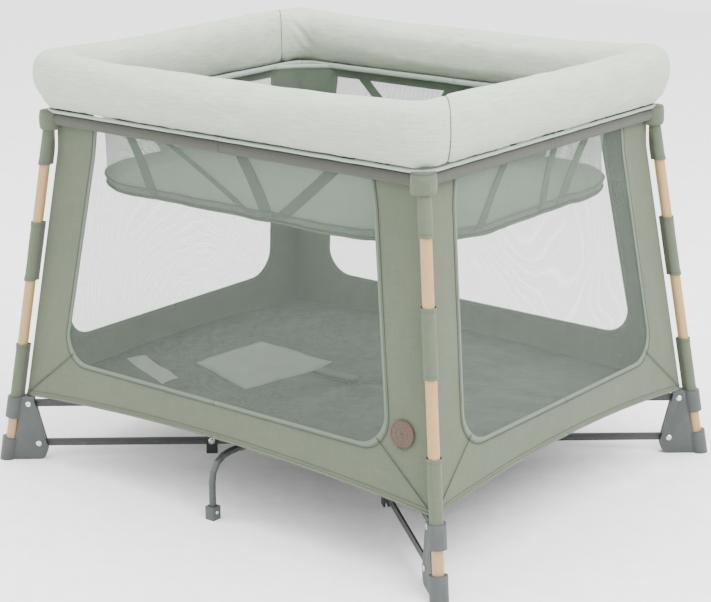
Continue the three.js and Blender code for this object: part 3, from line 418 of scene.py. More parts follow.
class Build:
    """Points, faces and UVs of one piece, gathered from several shapes."""

    def __init__(self):
        self.points, self.faces, self.uvs = [], [], []

    def add(self, points, faces, uvs=None):
        base = len(self.points)
        self.points += [tuple(p) for p in points]
        self.faces += [tuple(base + i for i in f) for f in faces]
        self.uvs += uvs or [(0.0, 0.0)] * len(points)

    def grid(self, rows, closed=False, flip=False, uv=None):
        """A skin through rows of points. Its UV is the length along and across, in metres."""
        count = len(rows[0])
        faces = []
        for i in range(len(rows) - 1):
            for j in range(count if closed else count - 1):
                k = (j + 1) % count
                quad = (i * count + j, i * count + k, (i + 1) * count + k, (i + 1) * count + j)
                faces.append(quad[::-1] if flip else quad)
        if uv is None:
            uv, down = [], 0.0
            for i, row in enumerate(rows):
                if i:
                    down += (Vector(row[0]) - Vector(rows[i - 1][0])).length
                across = 0.0
                for j, p in enumerate(row):
                    if j:
                        across += (Vector(p) - Vector(row[j - 1])).length
                    uv.append((across, down))
        self.add([p for row in rows for p in row], faces, uv)

    def tube(self, path, radius, sides=8, tall=1.0, ends=True):
        """A round cord or tube along a path, with flat ends."""
        path = [Vector(p) for p in path]
        normal = None
        rows, run, uv = [], 0.0, []
        for i, p in enumerate(path):
            ahead = (path[min(i + 1, len(path) - 1)] - path[max(i - 1, 0)]).normalized()
            if normal is None:
                side = Vector((0, 0, 1)) if abs(ahead.z) < 0.9 else Vector((1, 0, 0))
                normal = side
            normal = (normal - ahead * normal.dot(ahead)).normalized()
            other = ahead.cross(normal)
            run += (p - path[i - 1]).length if i else 0.0
            ring = []
            for s in range(sides):
                a = 2 * math.pi * s / sides
                ring.append(p + normal * (radius * tall * math.cos(a)) + other * (radius * math.sin(a)))
                uv.append((run, radius * a))
            rows.append(ring)
        base = len(self.points)
        self.grid(rows, closed=True, uv=uv)
        if ends:
            self.faces.append(tuple(base + s for s in range(sides))[::-1])
            self.faces.append(tuple(base + (len(rows) - 1) * sides + s for s in range(sides)))

    def close_end(self, count):
        """Closes the last ring of points with one face."""
        last = len(self.points) - count
        self.faces.append(tuple(range(last, last + count)))

    def close(self, count):
        """Closes the first and the last ring of the only skin in this build."""
        self.faces.append(tuple(range(count))[::-1])
        self.close_end(count)

    def piece(self, name, material, flat=False):
        return make_piece(name, self.points, self.faces, material, self.uvs, flat)


def turned_right(piece):
    """Gives a closed piece outward faces."""
    work = bmesh.new()
    work.from_mesh(piece.data)
    bmesh.ops.recalc_face_normals(work, faces=work.faces)
    work.to_mesh(piece.data)
    work.free()
    return piece


def in_corner(points, sx, sy):
    """Points drawn for the corner where X and Y are positive, moved to another corner."""
    return [(sx * p[0], sy * p[1], p[2]) for p in points]


def ride_with(piece, body, replaced=()):
    """Ties a piece to a body, in place of CAD nodes if any are named."""
    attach(piece, body)
    if replaced:
        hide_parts(*replaced)
    return piece


def sheet_area(piece):
    return sum(p.area for p in piece.data.polygons)


def declare_sheet(piece, cut=None):
    """Works out the cut size of a flat piece of cloth, its longest sides and the area of its cut, but keeps
    nothing.
    """
    xs = [uv.uv[0] for uv in piece.data.uv_layers[0].data]
    ys = [uv.uv[1] for uv in piece.data.uv_layers[0].data]
    width, length = cut or (max(xs) - min(xs), max(ys) - min(ys))
    area = sheet_area(piece)
    if area > width * length:
        length = area / width


# ---- Stitches by Geometry Nodes ------------------------------------------------------------------

def stitch_tree():
    """Small thread capsules laid along a curve, a named distance apart."""
    tree = bpy.data.node_groups.new("stitch_row", "GeometryNodeTree")
    tree.interface.new_socket("Geometry", in_out="INPUT", socket_type="NodeSocketGeometry")
    for label in ("Stitch spacing", "Stitch length", "Thread radius"):
        tree.interface.new_socket(label, in_out="INPUT", socket_type="NodeSocketFloat")
    tree.interface.new_socket("Thread", in_out="INPUT", socket_type="NodeSocketMaterial")
    tree.interface.new_socket("Geometry", in_out="OUTPUT", socket_type="NodeSocketGeometry")
    source = tree.nodes.new("NodeGroupInput")
    sink = tree.nodes.new("NodeGroupOutput")
    spaced = tree.nodes.new("GeometryNodeResampleCurve")
    spaced.mode = "LENGTH"
    capsule = tree.nodes.new("GeometryNodeMeshCylinder")
    capsule.inputs["Vertices"].default_value = 6
    tangent = tree.nodes.new("GeometryNodeInputTangent")
    aligned = tree.nodes.new("FunctionNodeAlignRotationToVector")
    aligned.axis = "Z"
    laid = tree.nodes.new("GeometryNodeInstanceOnPoints")
    real = tree.nodes.new("GeometryNodeRealizeInstances")
    painted = tree.nodes.new("GeometryNodeSetMaterial")
    link = tree.links.new
    link(source.outputs["Geometry"], spaced.inputs["Curve"])
    link(source.outputs["Stitch spacing"], spaced.inputs["Length"])
    link(source.outputs["Thread radius"], capsule.inputs["Radius"])
    link(source.outputs["Stitch length"], capsule.inputs["Depth"])
    link(tangent.outputs[0], aligned.inputs["Vector"])
    link(spaced.outputs[0], laid.inputs["Points"])
    link(capsule.outputs["Mesh"], laid.inputs["Instance"])
    link(aligned.outputs[0], laid.inputs["Rotation"])
    link(laid.outputs[0], real.inputs[0])
    link(real.outputs[0], painted.inputs["Geometry"])
    link(source.outputs["Thread"], painted.inputs["Material"])
    link(painted.outputs[0], sink.inputs[0])
    return tree


STITCHES = stitch_tree()


def stitch_rows(name, paths, thread, spacing=STITCH_GAP, length=STITCH_LENGTH, radius=THREAD_RADIUS):
    """One mesh of stitches along several paths."""
    curve = bpy.data.curves.new(name + "_guide", "CURVE")
    curve.dimensions = "3D"
    for path in paths:
        row = curve.splines.new("POLY")
        row.points.add(len(path) - 1)
        for point, at in zip(row.points, path):
            point.co = (*at, 1)
    guide = new_object(name + "_guide", curve)
    modifier = guide.modifiers.new("stitches", "NODES")
    modifier.node_group = STITCHES
    values = {"Stitch spacing": spacing, "Stitch length": length, "Thread radius": radius, "Thread": thread}
    for item in STITCHES.interface.items_tree:
        if item.in_out == "INPUT" and item.name in values:
            modifier[item.identifier] = values[item.name]
    mesh = evaluated_mesh(guide)
    mesh.name = name
    bpy.data.objects.remove(guide)
    bpy.data.curves.remove(curve)
    smooth_shaded(mesh)
    return new_object(name, mesh)


# ---- Camera, floor and light ---------------------------------------------------------------------

def set_camera():
    """A long lens, looking down a little past the near corner."""
    at, yaw, pitch, roll = (2.2368, -2.7637, 1.3806), 0.6792, 0.2897, -0.0066
    ahead = Vector((-math.sin(yaw) * math.cos(pitch), math.cos(yaw) * math.cos(pitch), -math.sin(pitch)))
    right = ahead.cross(Vector((0, 0, 1))).normalized()
    up = right.cross(ahead)
    turned_side = right * math.cos(roll) + up * math.sin(roll)
    turned_up = up * math.cos(roll) - right * math.sin(roll)
    camera = bpy.data.objects.new("camera", bpy.data.cameras.new("camera"))
    camera.data.lens = 95.89
    camera.data.sensor_width = 36
    camera.data.sensor_fit = "HORIZONTAL"
    camera.data.clip_end = 50
    axes = Matrix((turned_side, turned_up, -ahead)).transposed()
    camera.matrix_world = Matrix.Translation(at) @ axes.to_4x4()
    bpy.context.scene.collection.objects.link(camera)
    bpy.context.scene.camera = camera


STAGE_HALF = 6.0


def set_stage():
    """A white floor and backdrop, a soft key light, a fill and a top light."""
    half = STAGE_HALF
    white = moulded_material("studio_white", (0.90, 0.90, 0.90), 0.9, 0.0)
    square = [(-half, -half, 0), (half, -half, 0), (half, half, 0), (-half, half, 0)]
    floor = make_piece("studio_floor", square, [(0, 1, 2, 3)], white)
    world = bpy.data.worlds.new("studio")
    world.use_nodes = True
    world.node_tree.nodes["Background"].inputs[0].default_value = (1, 1, 1, 1)
    world.node_tree.nodes["Background"].inputs[1].default_value = 2.7
    bpy.context.scene.world = world
    for name, at, size, power in (("key", (2.6, -0.6, 3.2), 2.4, 190), ("fill", (-2.4, -2.6, 2.4), 3.0, 58),
                                  ("top", (0.0, 0.4, 3.6), 3.0, 130)):
        lamp = bpy.data.objects.new(name, bpy.data.lights.new(name, "AREA"))
        lamp.data.size = size
        lamp.data.energy = power
        lamp.location = at
        lamp.rotation_euler = (Vector((0, 0, 0.4)) - Vector(at)).to_track_quat("-Z", "Y").to_euler()
        bpy.context.scene.collection.objects.link(lamp)


set_camera()
set_stage()


# ---- Walls: half of each side, drawn for the corner where X and Y are positive -------------------

def word_of(side):
    return "long" if side.is_long else "short"


def half_name(side, corner):
    """The end of a piece's name, for the half of a long or a short side at a corner."""
    return word_of(side) + "_" + corner


class Side:
    """A long or a short wall. Its at() takes the way from its middle to the corner."""

    def __init__(self, is_long):
        self.is_long = is_long
        self.sill_half, self.top_half = WINDOW_LONG if is_long else WINDOW_SHORT

    def at(self, u, z, out=0.0):
        """The point on the wall's cloth at a distance from the middle, and a height."""
        x, y = leg_out(z)
        away = (y if self.is_long else x) - wall_inset(z) + out
        return (u, away, z) if self.is_long else (away, u, z)

    def corner(self, z):
        x, y = leg_out(z)
        return (x if self.is_long else y) - wall_inset(z)

    def hem_z(self, u):
        return WALL_FOOT_Z + WALL_RISE * (1 - (u / self.corner(WALL_FOOT_Z)) ** 2)

    def window_half(self, z):
        t = (z - 0.28) / (BAND_Z - 0.28)
        return self.sill_half + (self.top_half - self.sill_half) * max(t, 0)

    def window_path(self, steps=(34, 16, 46), grow=0.0, top=WALL_TOP_Z):
        """The window's edge from the middle of its sill, round the corner and up."""
        r = WINDOW_CORNER
        low = WINDOW_SILL_Z - grow
        edge = self.window_half(WINDOW_SILL_Z + r) + grow
        path = [((edge - r) * i / steps[0], low) for i in range(steps[0])]
        for i in range(steps[1]):
            a = math.pi / 2 * i / steps[1]
            path.append((edge - r + r * math.sin(a), low + r - r * math.cos(a)))
        for i in range(steps[2] + 1):
            z = low + r + (top - low - r) * i / steps[2]
            path.append((self.window_half(z) + grow, z))
        return path

    def outer_path(self, steps=(34, 16, 46)):
        foot = self.corner(WALL_FOOT_Z)
        turn = foot * 0.93
        path = [(turn * i / steps[0], self.hem_z(turn * i / steps[0])) for i in range(steps[0])]
        rise = 0.045
        for i in range(steps[1]):
            t = 2 * i / steps[1]
            if t < 1:
                u = turn + (foot - turn) * t
                path.append((u, self.hem_z(u)))
            else:
                z = WALL_FOOT_Z + rise * (t - 1)
                path.append((self.corner(z), z))
        for i in range(steps[2] + 1):
            z = WALL_FOOT_Z + rise + (WALL_TOP_Z - WALL_FOOT_Z - rise) * i / steps[2]
            path.append((self.corner(z), z))
        return path

    def fold_axis(self):
        """The way across the wall from its leg, and the leg's foot."""
        x0, y0 = leg_out(0.1)
        x1, y1 = leg_out(0.7)
        lean = ((x0 - x1) if self.is_long else (y0 - y1)) / 0.6
        if self.is_long:
            return Vector((1, 0, lean)).normalized(), self.at(self.corner(0.1), 0.1)
        return Vector((0, 1, lean)).normalized(), self.at(self.corner(0.1), 0.1)

    def keep(self):
        travel = TRAVEL_X if self.is_long else TRAVEL_Y
        half = self.corner(0.42)
        return 1 - travel / half


LONG, SHORT = Side(True), Side(False)


def face_name(side, corner):
    """Which of the four faces a side has at a corner."""
    sx, sy = CORNERS[corner]
    if side.is_long:
        return "front" if sy < 0 else "back"
    return "left" if sx < 0 else "right"


def follow_wall(piece, side, corner):
    """The cloth rides with its leg."""
    axis, anchor = side.fold_axis()
    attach(piece, corner + "_leg")
    side.keep()
    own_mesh(piece)


# The window binding's section: out from the window's edge, and out from the cloth.
BINDING = ((-0.0012, -0.0006), (-0.0016, 0.0006), (-0.0006, 0.0017), (0.0030, 0.0019), (0.0062, 0.0017),
           (0.0070, 0.0009), (0.0066, -0.0004))


CLOTH_STEPS = 13            # from the window to the wall's outer edge
NET_COLUMNS = 26
NET_ROWS_ROUND, NET_ROWS_UP = 7, 30
HEM_STEPS = 40
MITRE = 34 + 8              # the point of both edge paths that the mitre seam joins
STRIP_WIDTH = 0.20          # the strip that each wall's cloth is cut from
SEAM_THREAD = 0.0005


def wall_cloth(side, corner):
    """Half a wall's cloth: a frame round its window, a little slack between its edges."""
    sx, sy = CORNERS[corner]
    outer = side.outer_path()
    rows, uvs = [], []
    for (u0, z0), (u1, z1) in zip(side.window_path(), outer):
        row = []
        for j in range(CLOTH_STEPS + 1):
            t = j / CLOTH_STEPS
            u, z = u0 + (u1 - u0) * t, z0 + (z1 - z0) * t
            free = 4 * t * (1 - t)
            p = in_corner([side.at(u, z)], sx, sy)[0]
            out = 0.0012 * free * ripple(p, 0.055, 3.1) + 0.0022 * free * ripple(p, 0.16, 8.4)
            row.append(side.at(u, z, out))
            uvs.append((u, z))
        rows.append(in_corner(row, sx, sy))
    cloth = Build()
    cloth.grid(rows, flip=(sx * sy > 0) != side.is_long, uv=uvs)
    panel = cloth.piece("wall_cloth_" + half_name(side, corner), sage_cloth)
    follow_wall(panel, side, corner)
    strip = sum((Vector(a) - Vector(b)).length for a, b in zip(outer, outer[1:]))
    declare_sheet(panel, (strip, STRIP_WIDTH))
    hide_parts("wall_" + face_name(side, corner))


def window_net(side, corner):
    """Half a window's netting, with the sill's rounded corner."""
    sx, sy = CORNERS[corner]
    r = WINDOW_CORNER
    up = WALL_TOP_Z - WINDOW_SILL_Z - r
    turns = [math.pi / 2 * i / NET_ROWS_ROUND for i in range(NET_ROWS_ROUND)]
    heights = [WINDOW_SILL_Z + r * (1 - math.cos(turn)) for turn in turns]
    heights += [WINDOW_SILL_Z + r + up * i / NET_ROWS_UP for i in range(NET_ROWS_UP + 1)]
    rows, uvs = [], []
    for z in heights:
        drop = max(WINDOW_SILL_Z + r - z, 0)
        half = side.window_half(max(z, WINDOW_SILL_Z + r)) - (r - math.sqrt(max(r * r - drop * drop, 0)))
        row = []
        for j in range(NET_COLUMNS + 1):
            u = half * j / NET_COLUMNS
            edge = min((half - u), z - WINDOW_SILL_Z, WALL_TOP_Z - z) / 0.06
            p = in_corner([side.at(u, z)], sx, sy)[0]
            out = 0.0030 * smooth(edge) * ripple(p, 0.11, 5.7)
            row.append(side.at(u, z, out - 0.0006))
            uvs.append((u, z))
        rows.append(in_corner(row, sx, sy))
    net = Build()
    net.grid(rows, flip=(sx * sy > 0) == side.is_long, uv=uvs)
    window = net.piece("window_net_" + half_name(side, corner), wall_net)
    follow_wall(window, side, corner)
    declare_sheet(window)


def window_binding(side, corner):
    """The rounded binding sewn over the window's edge."""
    sx, sy = CORNERS[corner]
    rows = []
    edges = [side.window_path(grow=grow, top=WALL_TOP_Z - 0.004) for grow, out in BINDING]
    for i in range(len(edges[0])):
        row = [side.at(*edge_path[i], out) for edge_path, (grow, out) in zip(edges, BINDING)]
        rows.append(in_corner(row, sx, sy))
    trim = Build()
    trim.grid(rows, closed=True)
    trim.close(len(BINDING))
    piping = turned_right(trim.piece("window_binding_" + half_name(side, corner), pale_piping))
    follow_wall(piping, side, corner)


def hem_path(side, above, out):
    """A line along the wall's lower hem, from its middle to the corner."""
    foot = side.corner(WALL_FOOT_Z) - 0.001
    ways = [foot * i / HEM_STEPS for i in range(HEM_STEPS + 1)]
    return [side.at(u, side.hem_z(u) + above, out) for u in ways]


def hem_binding(side, corner):
    """The bound lower edge of half a wall."""
    edge = Build()
    edge.tube(in_corner(hem_path(side, 0.0, 0.0002), *CORNERS[corner]), HEM_RADIUS, 8, 1.9)
    binding = turned_right(edge.piece("hem_binding_" + half_name(side, corner), sage_cloth))
    follow_wall(binding, side, corner)


def wall_seams(side, corner):
    """Stitches on both sides of the window's binding, above the hem and beside the mitre seam."""
    sx, sy = CORNERS[corner]
    (u0, z0), (u1, z1) = side.window_path()[MITRE], side.outer_path()[MITRE]
    rows = []
    for grow, out in ((0.0054, 0.0020), (0.0082, 0.0009)):
        rows.append([side.at(u, z, out) for u, z in side.window_path(grow=grow, top=WALL_TOP_Z - 0.006)])
    rows.append(hem_path(side, 0.0085, 0.0009))
    beside = [(u0 + (u1 - u0) * t / 12 + 0.004, z0 + (z1 - z0) * t / 12) for t in range(13)]
    rows.append([side.at(u, z, 0.0028) for u, z in beside])
    name = "wall_stitches_" + half_name(side, corner)
    sewn = stitch_rows(name, [in_corner(row, sx, sy) for row in rows], thread_dark)
    follow_wall(sewn, side, corner)
    line = [side.at(u0 + (u1 - u0) * t / 20, z0 + (z1 - z0) * t / 20, 0.0022) for t in range(21)]
    seam = Build()
    seam.tube(in_corner(line, sx, sy), SEAM_THREAD, 6, 1.0)
    fold_line = turned_right(seam.piece("mitre_seam_" + half_name(side, corner), thread_dark))
    follow_wall(fold_line, side, corner)


def wall_half(side, corner):
    wall_cloth(side, corner)
    window_net(side, corner)
    window_binding(side, corner)
    hem_binding(side, corner)
    wall_seams(side, corner)


for corner_name in CORNERS:
    wall_half(LONG, corner_name)
    wall_half(SHORT, corner_name)


# ---- Legs, sleeves and corner covers -------------------------------------------------------------

def leg_tube(corner):
    """The round leg with its beech-look skin."""
    sx, sy = CORNERS[corner]
    low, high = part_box("leg_tube_" + corner)
    tube = Build()
    ends = in_corner([(*leg_out(z), z) for z in (low[2] + 0.0015, high[2] - 0.0015)], sx, sy)
    path = [Vector(ends[0]).lerp(Vector(ends[1]), i / 24) for i in range(25)]
    tube.tube(path, LEG_RADIUS, 48)
    piece = turned_right(tube.piece("beech_tube_" + corner, beech_skin))
    ride_with(piece, corner + "_leg", ["leg_tube_" + corner])


def sleeve_ring(z, corner, flare, seed):
    """A section of a sleeve: round the leg, with a web of cloth back to the wall's corner."""
    sx, sy = CORNERS[corner]
    x, y = leg_out(z)
    web = wall_inset(z) - 0.0035
    ring = []
    for i in range(31):
        a = math.radians(-45 + (i - 15) / 15 * 140 + 90)
        pucker = 1 + 0.05 * ripple((math.cos(a), math.sin(a), z * 40), 0.8, seed)
        r = (SLEEVE_RADIUS + flare) * pucker
        ring.append((x + r * math.cos(a), y + r * math.sin(a), z))
    ring.append((x - web * 0.55 - 0.004, y - web * 0.55 + 0.003, z))
    ring.append((x - web, y - web, z))
    ring.append((x - web * 0.55 + 0.003, y - web * 0.55 - 0.004, z))
    return in_corner(ring, sx, sy)


def sleeves(corner):
    """Three cloth sleeves on a leg, puckered at their hems, with a row of stitches near each."""
    cloth = Build()
    rows_of_stitches = []
    for number, (low, high) in enumerate(SLEEVES):
        rows = []
        steps = max(8, int((high - low) / 0.007))
        for i in range(steps + 1):
            z = low + (high - low) * i / steps
            near_end = min(i, steps - i)
            flare = (0.0009, 0.0003, 0.0)[min(near_end, 2)]
            rows.append(sleeve_ring(z, corner, flare, 4.0 + number))
        cloth.grid(rows, closed=True)
        for z in (low + 0.006, high - 0.006):
            if z < 0.66:
                rows_of_stitches.append(sleeve_ring(z, corner, 0.0004, 4.0 + number)[:31])
    piece = turned_right(cloth.piece("leg_sleeves_" + corner, sage_cloth))
    ride_with(piece, corner + "_leg")
    hems = stitch_rows("sleeve_stitches_" + corner, rows_of_stitches, thread_dark)
    ride_with(hems, corner + "_leg")


def cap_cover(corner):
    """The cloth-covered knob where the rails meet the leg."""
    low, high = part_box("corner_cap_" + corner)
    x, y = (low[0] + high[0]) / 2, (low[1] + high[1]) / 2
    profile = [(0.0128, -0.0045), (0.0205, -0.0025), (CAP_RADIUS, 0.003), (CAP_RADIUS + 0.0004, 0.012),
               (CAP_RADIUS, 0.022), (0.0213, 0.029), (0.0185, 0.0330), (0.010, 0.0342), (0.0005, 0.0344)]
    rows = []
    for r, up in profile:
        row = []
        for i in range(40):
            a = 2 * math.pi * i / 40
            out = r * (1 + 0.012 * ripple((math.cos(a), math.sin(a), up * 60), 0.5, 9.0))
            row.append((x + out * math.cos(a), y + out * math.sin(a), low[2] + up))
        rows.append(row)
    cover = Build()
    cover.grid(rows, closed=True)
    cover.close_end(40)
    piece = turned_right(cover.piece("cap_cover_" + corner, sage_cloth))
    ride_with(piece, corner + "_leg")


for corner_name in CORNERS:
    leg_tube(corner_name)
    sleeves(corner_name)
    cap_cover(corner_name)


# ---- Band round the top rails --------------------------------------------------------------------

def rail_band(side, corner):
    """A cloth tunnel that the half rail runs in, a little slack."""
    sx, sy = CORNERS[corner]
    x, y = leg_out(BAND_Z)
    end = (x if side.is_long else y) - 0.014
    away = y if side.is_long else x
    rows = []
    for i in range(61):
        u = 0.0004 + (end - 0.0004) * i / 60
        row = []
        for s in range(20):
            a = 2 * math.pi * s / 20
            r = BAND_RADIUS * (1 + 0.02 * ripple((u * sx * 30, a, away * sy * 9), 1.0, 2.0))
            point = (u, away + r * math.cos(a), BAND_Z + r * math.sin(a))
            row.append(point if side.is_long else (point[1], point[0], point[2]))
        rows.append(in_corner(row, sx, sy))
    band = Build()
    band.grid(rows, closed=True)
    piece = turned_right(band.piece("rail_band_" + half_name(side, corner), band_cloth))
    ride_with(piece, f"{corner}_{word_of(side)}_rail")


for corner_name in CORNERS:
    rail_band(LONG, corner_name)
    rail_band(SHORT, corner_name)


# ---- Padded rim ----------------------------------------------------------------------------------

RIM_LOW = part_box("rim_pad_front")[0][2]
RIM_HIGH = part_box("rim_pad_front")[1][2]
RIM_TALL = RIM_HIGH - RIM_LOW
RIM_OUT = -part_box("rim_pad_front")[0][1] - leg_out(RIM_LOW)[1]
RIM_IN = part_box("rim_pad_front")[1][1] + leg_out(RIM_LOW)[1]
RIM_OUTER_CORNER = 0.060
RIM_INNER_CORNER = 0.045
RIM_SHRINK = 0.004
SEAM_SHIFT = 0.061          # the cover's two seams have slipped this far round from the corners
SEAM_HOLD = 0.005           # the cover is held this near its seams, and below this height at its hem
HEM_HOLD = 0.010
RIM_THREAD = 0.0006
COVER_VOXEL = 0.006
AIR_PRESSURE = 4.0
FILL_STEPS = 20
FILL_LIMIT = 0.010


def rim_section(shrink):
    """The rim's section: out from the leg line, and up from its hem, going round from the hem."""
    shares = [(-0.60, 0.03), (0.20, 0.0), (0.52, 0.07), (0.80, 0.20), (0.97, 0.40), (1.0, 0.60), (0.93, 0.78),
              (0.72, 0.91), (0.38, 0.985), (0.0, 1.0), (-0.40, 0.965), (-0.74, 0.86), (-0.94, 0.68),
              (-1.0, 0.45), (-0.93, 0.20)]
    points = []
    for out, up in shares:
        o = out * (RIM_OUT if out > 0 else RIM_IN) * (1 - shrink / 0.04)
        points.append(Vector((o, RIM_TALL * (0.5 + (up - 0.5) * (1 - 2 * shrink / RIM_TALL)))))
    fine, count = [], len(points)
    for i in range(count):
        a, b, c, d = (points[(i + k - 1) % count] for k in range(4))
        fine += [spline(a, b, c, d, s / 3) for s in range(3)]
    return fine


def rim_corner_point(o, up, turn, half_x, half_y):
    """A point of the rim near its corner, turning on the outer or on the inner corner's arc."""
    if o >= 0:
        r = RIM_OUTER_CORNER - RIM_OUT + o
        cx, cy = half_x + RIM_OUT - RIM_OUTER_CORNER, half_y + RIM_OUT - RIM_OUTER_CORNER
        return cx + r * math.sin(turn), cy + r * math.cos(turn), RIM_LOW + up
    blend = o / RIM_IN
    r0 = RIM_OUTER_CORNER - RIM_OUT
    radius = r0 + (RIM_INNER_CORNER - r0) * -blend
    cx, cy = half_x + o - radius, half_y + o - radius
    return cx + radius * math.sin(turn), cy + radius * math.cos(turn), RIM_LOW + up


def corner_tuck(p, near):
    """The rim is drawn in under its corner, low down on the outside."""
    return 0.010 * near * smooth((0.6 - p.y / RIM_TALL) / 0.6) if p.x > 0 else 0.0


def rim_ring(half_x, half_y):
    """The whole rim as one closed skin, going round from the back right-hand corner."""
    section = rim_section(RIM_SHRINK)
    turns = 14
    rows = []
    for sx, sy, runs in ((1, 1, 105), (1, -1, 129), (-1, -1, 105), (-1, 1, 129)):
        part = []
        for i in range(turns + 1):
            turn = math.pi / 2 * i / turns
            near = 1 - abs(turn / (math.pi / 4) - 1)
            tucked = [(p.x - corner_tuck(p, near), p.y) for p in section]
            points = [rim_corner_point(o, up, turn, half_x, half_y) for o, up in tucked]
            part.append([Vector(q) for q in in_corner(points, sx, sy)])
        if sx * sy < 0:
            part.reverse()
        if rows:
            rows += straight_rows(rows[-1], part[0], before)
        rows += part
        before = runs
    rows += straight_rows(rows[-1], rows[0], before)
    ring = Build()
    ring.grid(rows + [rows[0]], closed=True)
    piece = ring.piece("rim_ring", rim_cloth)
    work = bmesh.new()
    work.from_mesh(piece.data)
    bmesh.ops.remove_doubles(work, verts=work.verts[:], dist=0.00001)
    work.to_mesh(piece.data)
    work.free()
    return turned_right(piece)


def straight_rows(first, last, count):
    """Sections between two others, without the first and the last."""
    return [[a.lerp(b, i / count) for a, b in zip(first, last)] for i in range(1, count)]


def to_seam(p, half_x, half_y):
    """How far a point is from the slanting seam that joins the cover at two of its corners."""
    if p.x * p.y > 0:
        return 1.0
    return abs((abs(p.x) - half_x) - (abs(p.y) - half_y + SEAM_SHIFT)) / math.sqrt(2)


def puff(pad, is_held, limit):
    """Fills a sewn cover: cloth with air pressure, held at its seams, then kept within a limit."""
    bpy.context.view_layer.objects.active = pad
    remesh = pad.modifiers.new("even", "REMESH")
    remesh.mode = "VOXEL"
    remesh.voxel_size = COVER_VOXEL
    applied(pad)
    start = [v.co.copy() for v in pad.data.vertices]
    group = pad.vertex_groups.new(name="seams")
    for v in pad.data.vertices:
        hold = is_held(v.co)
        if hold > 0:
            group.add([v.index], hold, "REPLACE")
    cloth = pad.modifiers.new("cover", "CLOTH")
    cloth.settings.use_pressure = True
    cloth.settings.uniform_pressure_force = AIR_PRESSURE
    cloth.settings.effector_weights.gravity = 0
    cloth.settings.vertex_group_mass = "seams"
    cloth.settings.quality = 5
    cloth.settings.tension_stiffness = 18
    cloth.settings.bending_stiffness = 0.6
    cloth.collision_settings.use_collision = False
    cloth.point_cache.frame_start = 1
    cloth.point_cache.frame_end = FILL_STEPS
    for step in range(1, FILL_STEPS + 1):
        bpy.context.scene.frame_set(step)
    applied(pad)
    for v, before in zip(pad.data.vertices, start):
        move = v.co - before
        if move.length > limit:
            v.co = before + move * (limit / move.length)
    bpy.context.scene.frame_set(1)


def pad_uv(mesh, is_long):
    """A UV in metres: along the rim, and up or across it."""
    layer = mesh.uv_layers.get("UVMap") or mesh.uv_layers.new(name="UVMap")
    for polygon in mesh.polygons:
        n = polygon.normal
        for i in polygon.loop_indices:
            co = mesh.vertices[mesh.loops[i].vertex_index].co
            along = co.x if is_long else co.y
            out = co.y if is_long else co.x
            layer.data[i].uv = (along, co.z if abs(n.z) < 0.7 else out)


def cut_off(work, place, normal):
    """Cuts a closed skin, keeps what is behind the cut and closes it with a crisp edge."""
    everything = work.verts[:] + work.edges[:] + work.faces[:]
    cut = bmesh.ops.bisect_plane(work, geom=everything, plane_co=place, plane_no=normal, clear_outer=True)
    edges = [e for e in cut["geom_cut"] if isinstance(e, bmesh.types.BMEdge)]
    bmesh.ops.holes_fill(work, edges=[e for e in edges if e.is_boundary], sides=0)
    for edge in edges:
        edge.smooth = False


def rim_part(mesh, side, corner, half_x, half_y):
    """One half side of the rim, from the middle of the side to the mitre at its corner."""
    sx, sy = CORNERS[corner]
    work = bmesh.new()
    work.from_mesh(mesh)
    cut_off(work, (0, 0, 0), (-sx, 0, 0))
    cut_off(work, (0, 0, 0), (0, -sy, 0))
    way = 1 if side.is_long else -1
    cut_off(work, (sx * half_x, sy * half_y, 0), Vector((sx * way, -sy * way, 0)).normalized())
    part = bpy.data.meshes.new("part")
    work.to_mesh(part)
    work.free()
    return part


def soft_relief(mesh, half_x, half_y):
    """Slow bulges all over, short puckers above the hem, and the seams sunk in."""
    normals = [v.normal.copy() for v in mesh.vertices]
    for v, n in zip(mesh.vertices, normals):
        p = v.co.copy()
        up = (p.z - RIM_LOW) / RIM_TALL
        gap = to_seam(p, half_x, half_y)
        hem = smooth(1 - up / 0.36)
        seam = smooth(1 - gap / 0.09)
        lift = 0.0011 * ripple(p, 0.075, 1.0) + 0.0008 * ripple(p, 0.03, 6.0)
        lift += (0.0010 + 0.0016 * seam) * hem * ripple((p.x, p.y, p.z * 0.25), 0.015, 3.0)
        lift += 0.0007 * seam * ripple((p.x, p.y, p.z * 0.6), 0.020, 7.0)
        lift -= 0.0024 * math.exp(-(gap / 0.0045) ** 2)
        v.co += n * lift
    mesh.update()


def rim():
    """The padded rim: one filled ring, cut at its mitres and at the middles of its sides."""
    half_x, half_y = leg_out(RIM_LOW)
    ring = rim_ring(half_x, half_y)
    def is_held(p):
        return 1.0 if to_seam(p, half_x, half_y) < SEAM_HOLD or p.z < RIM_LOW + HEM_HOLD else 0.0

    puff(ring, is_held, FILL_LIMIT)
    smoother = ring.modifiers.new("finer", "SUBSURF")
    smoother.levels = smoother.render_levels = 1
    applied(ring)
    soft_relief(ring.data, half_x, half_y)
    for corner in CORNERS:
        for side in (LONG, SHORT):
            name = face_name(side, corner)
            part = rim_part(ring.data, side, corner, half_x, half_y)
            coat(part, rim_cloth)
            smooth_shaded(part)
            pad_uv(part, side.is_long)
            piece = new_object(f"rim_{name}_{corner}", part)
            follow_rim(piece, side, corner)
            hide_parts("rim_pad_" + name)
    bpy.data.objects.remove(ring)


def follow_rim(piece, side, corner):
    """Half a side of the rim rides with its leg."""
    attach(piece, corner + "_leg")
    if side.is_long:
        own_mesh(piece)
    else:
        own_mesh(piece)


rim()


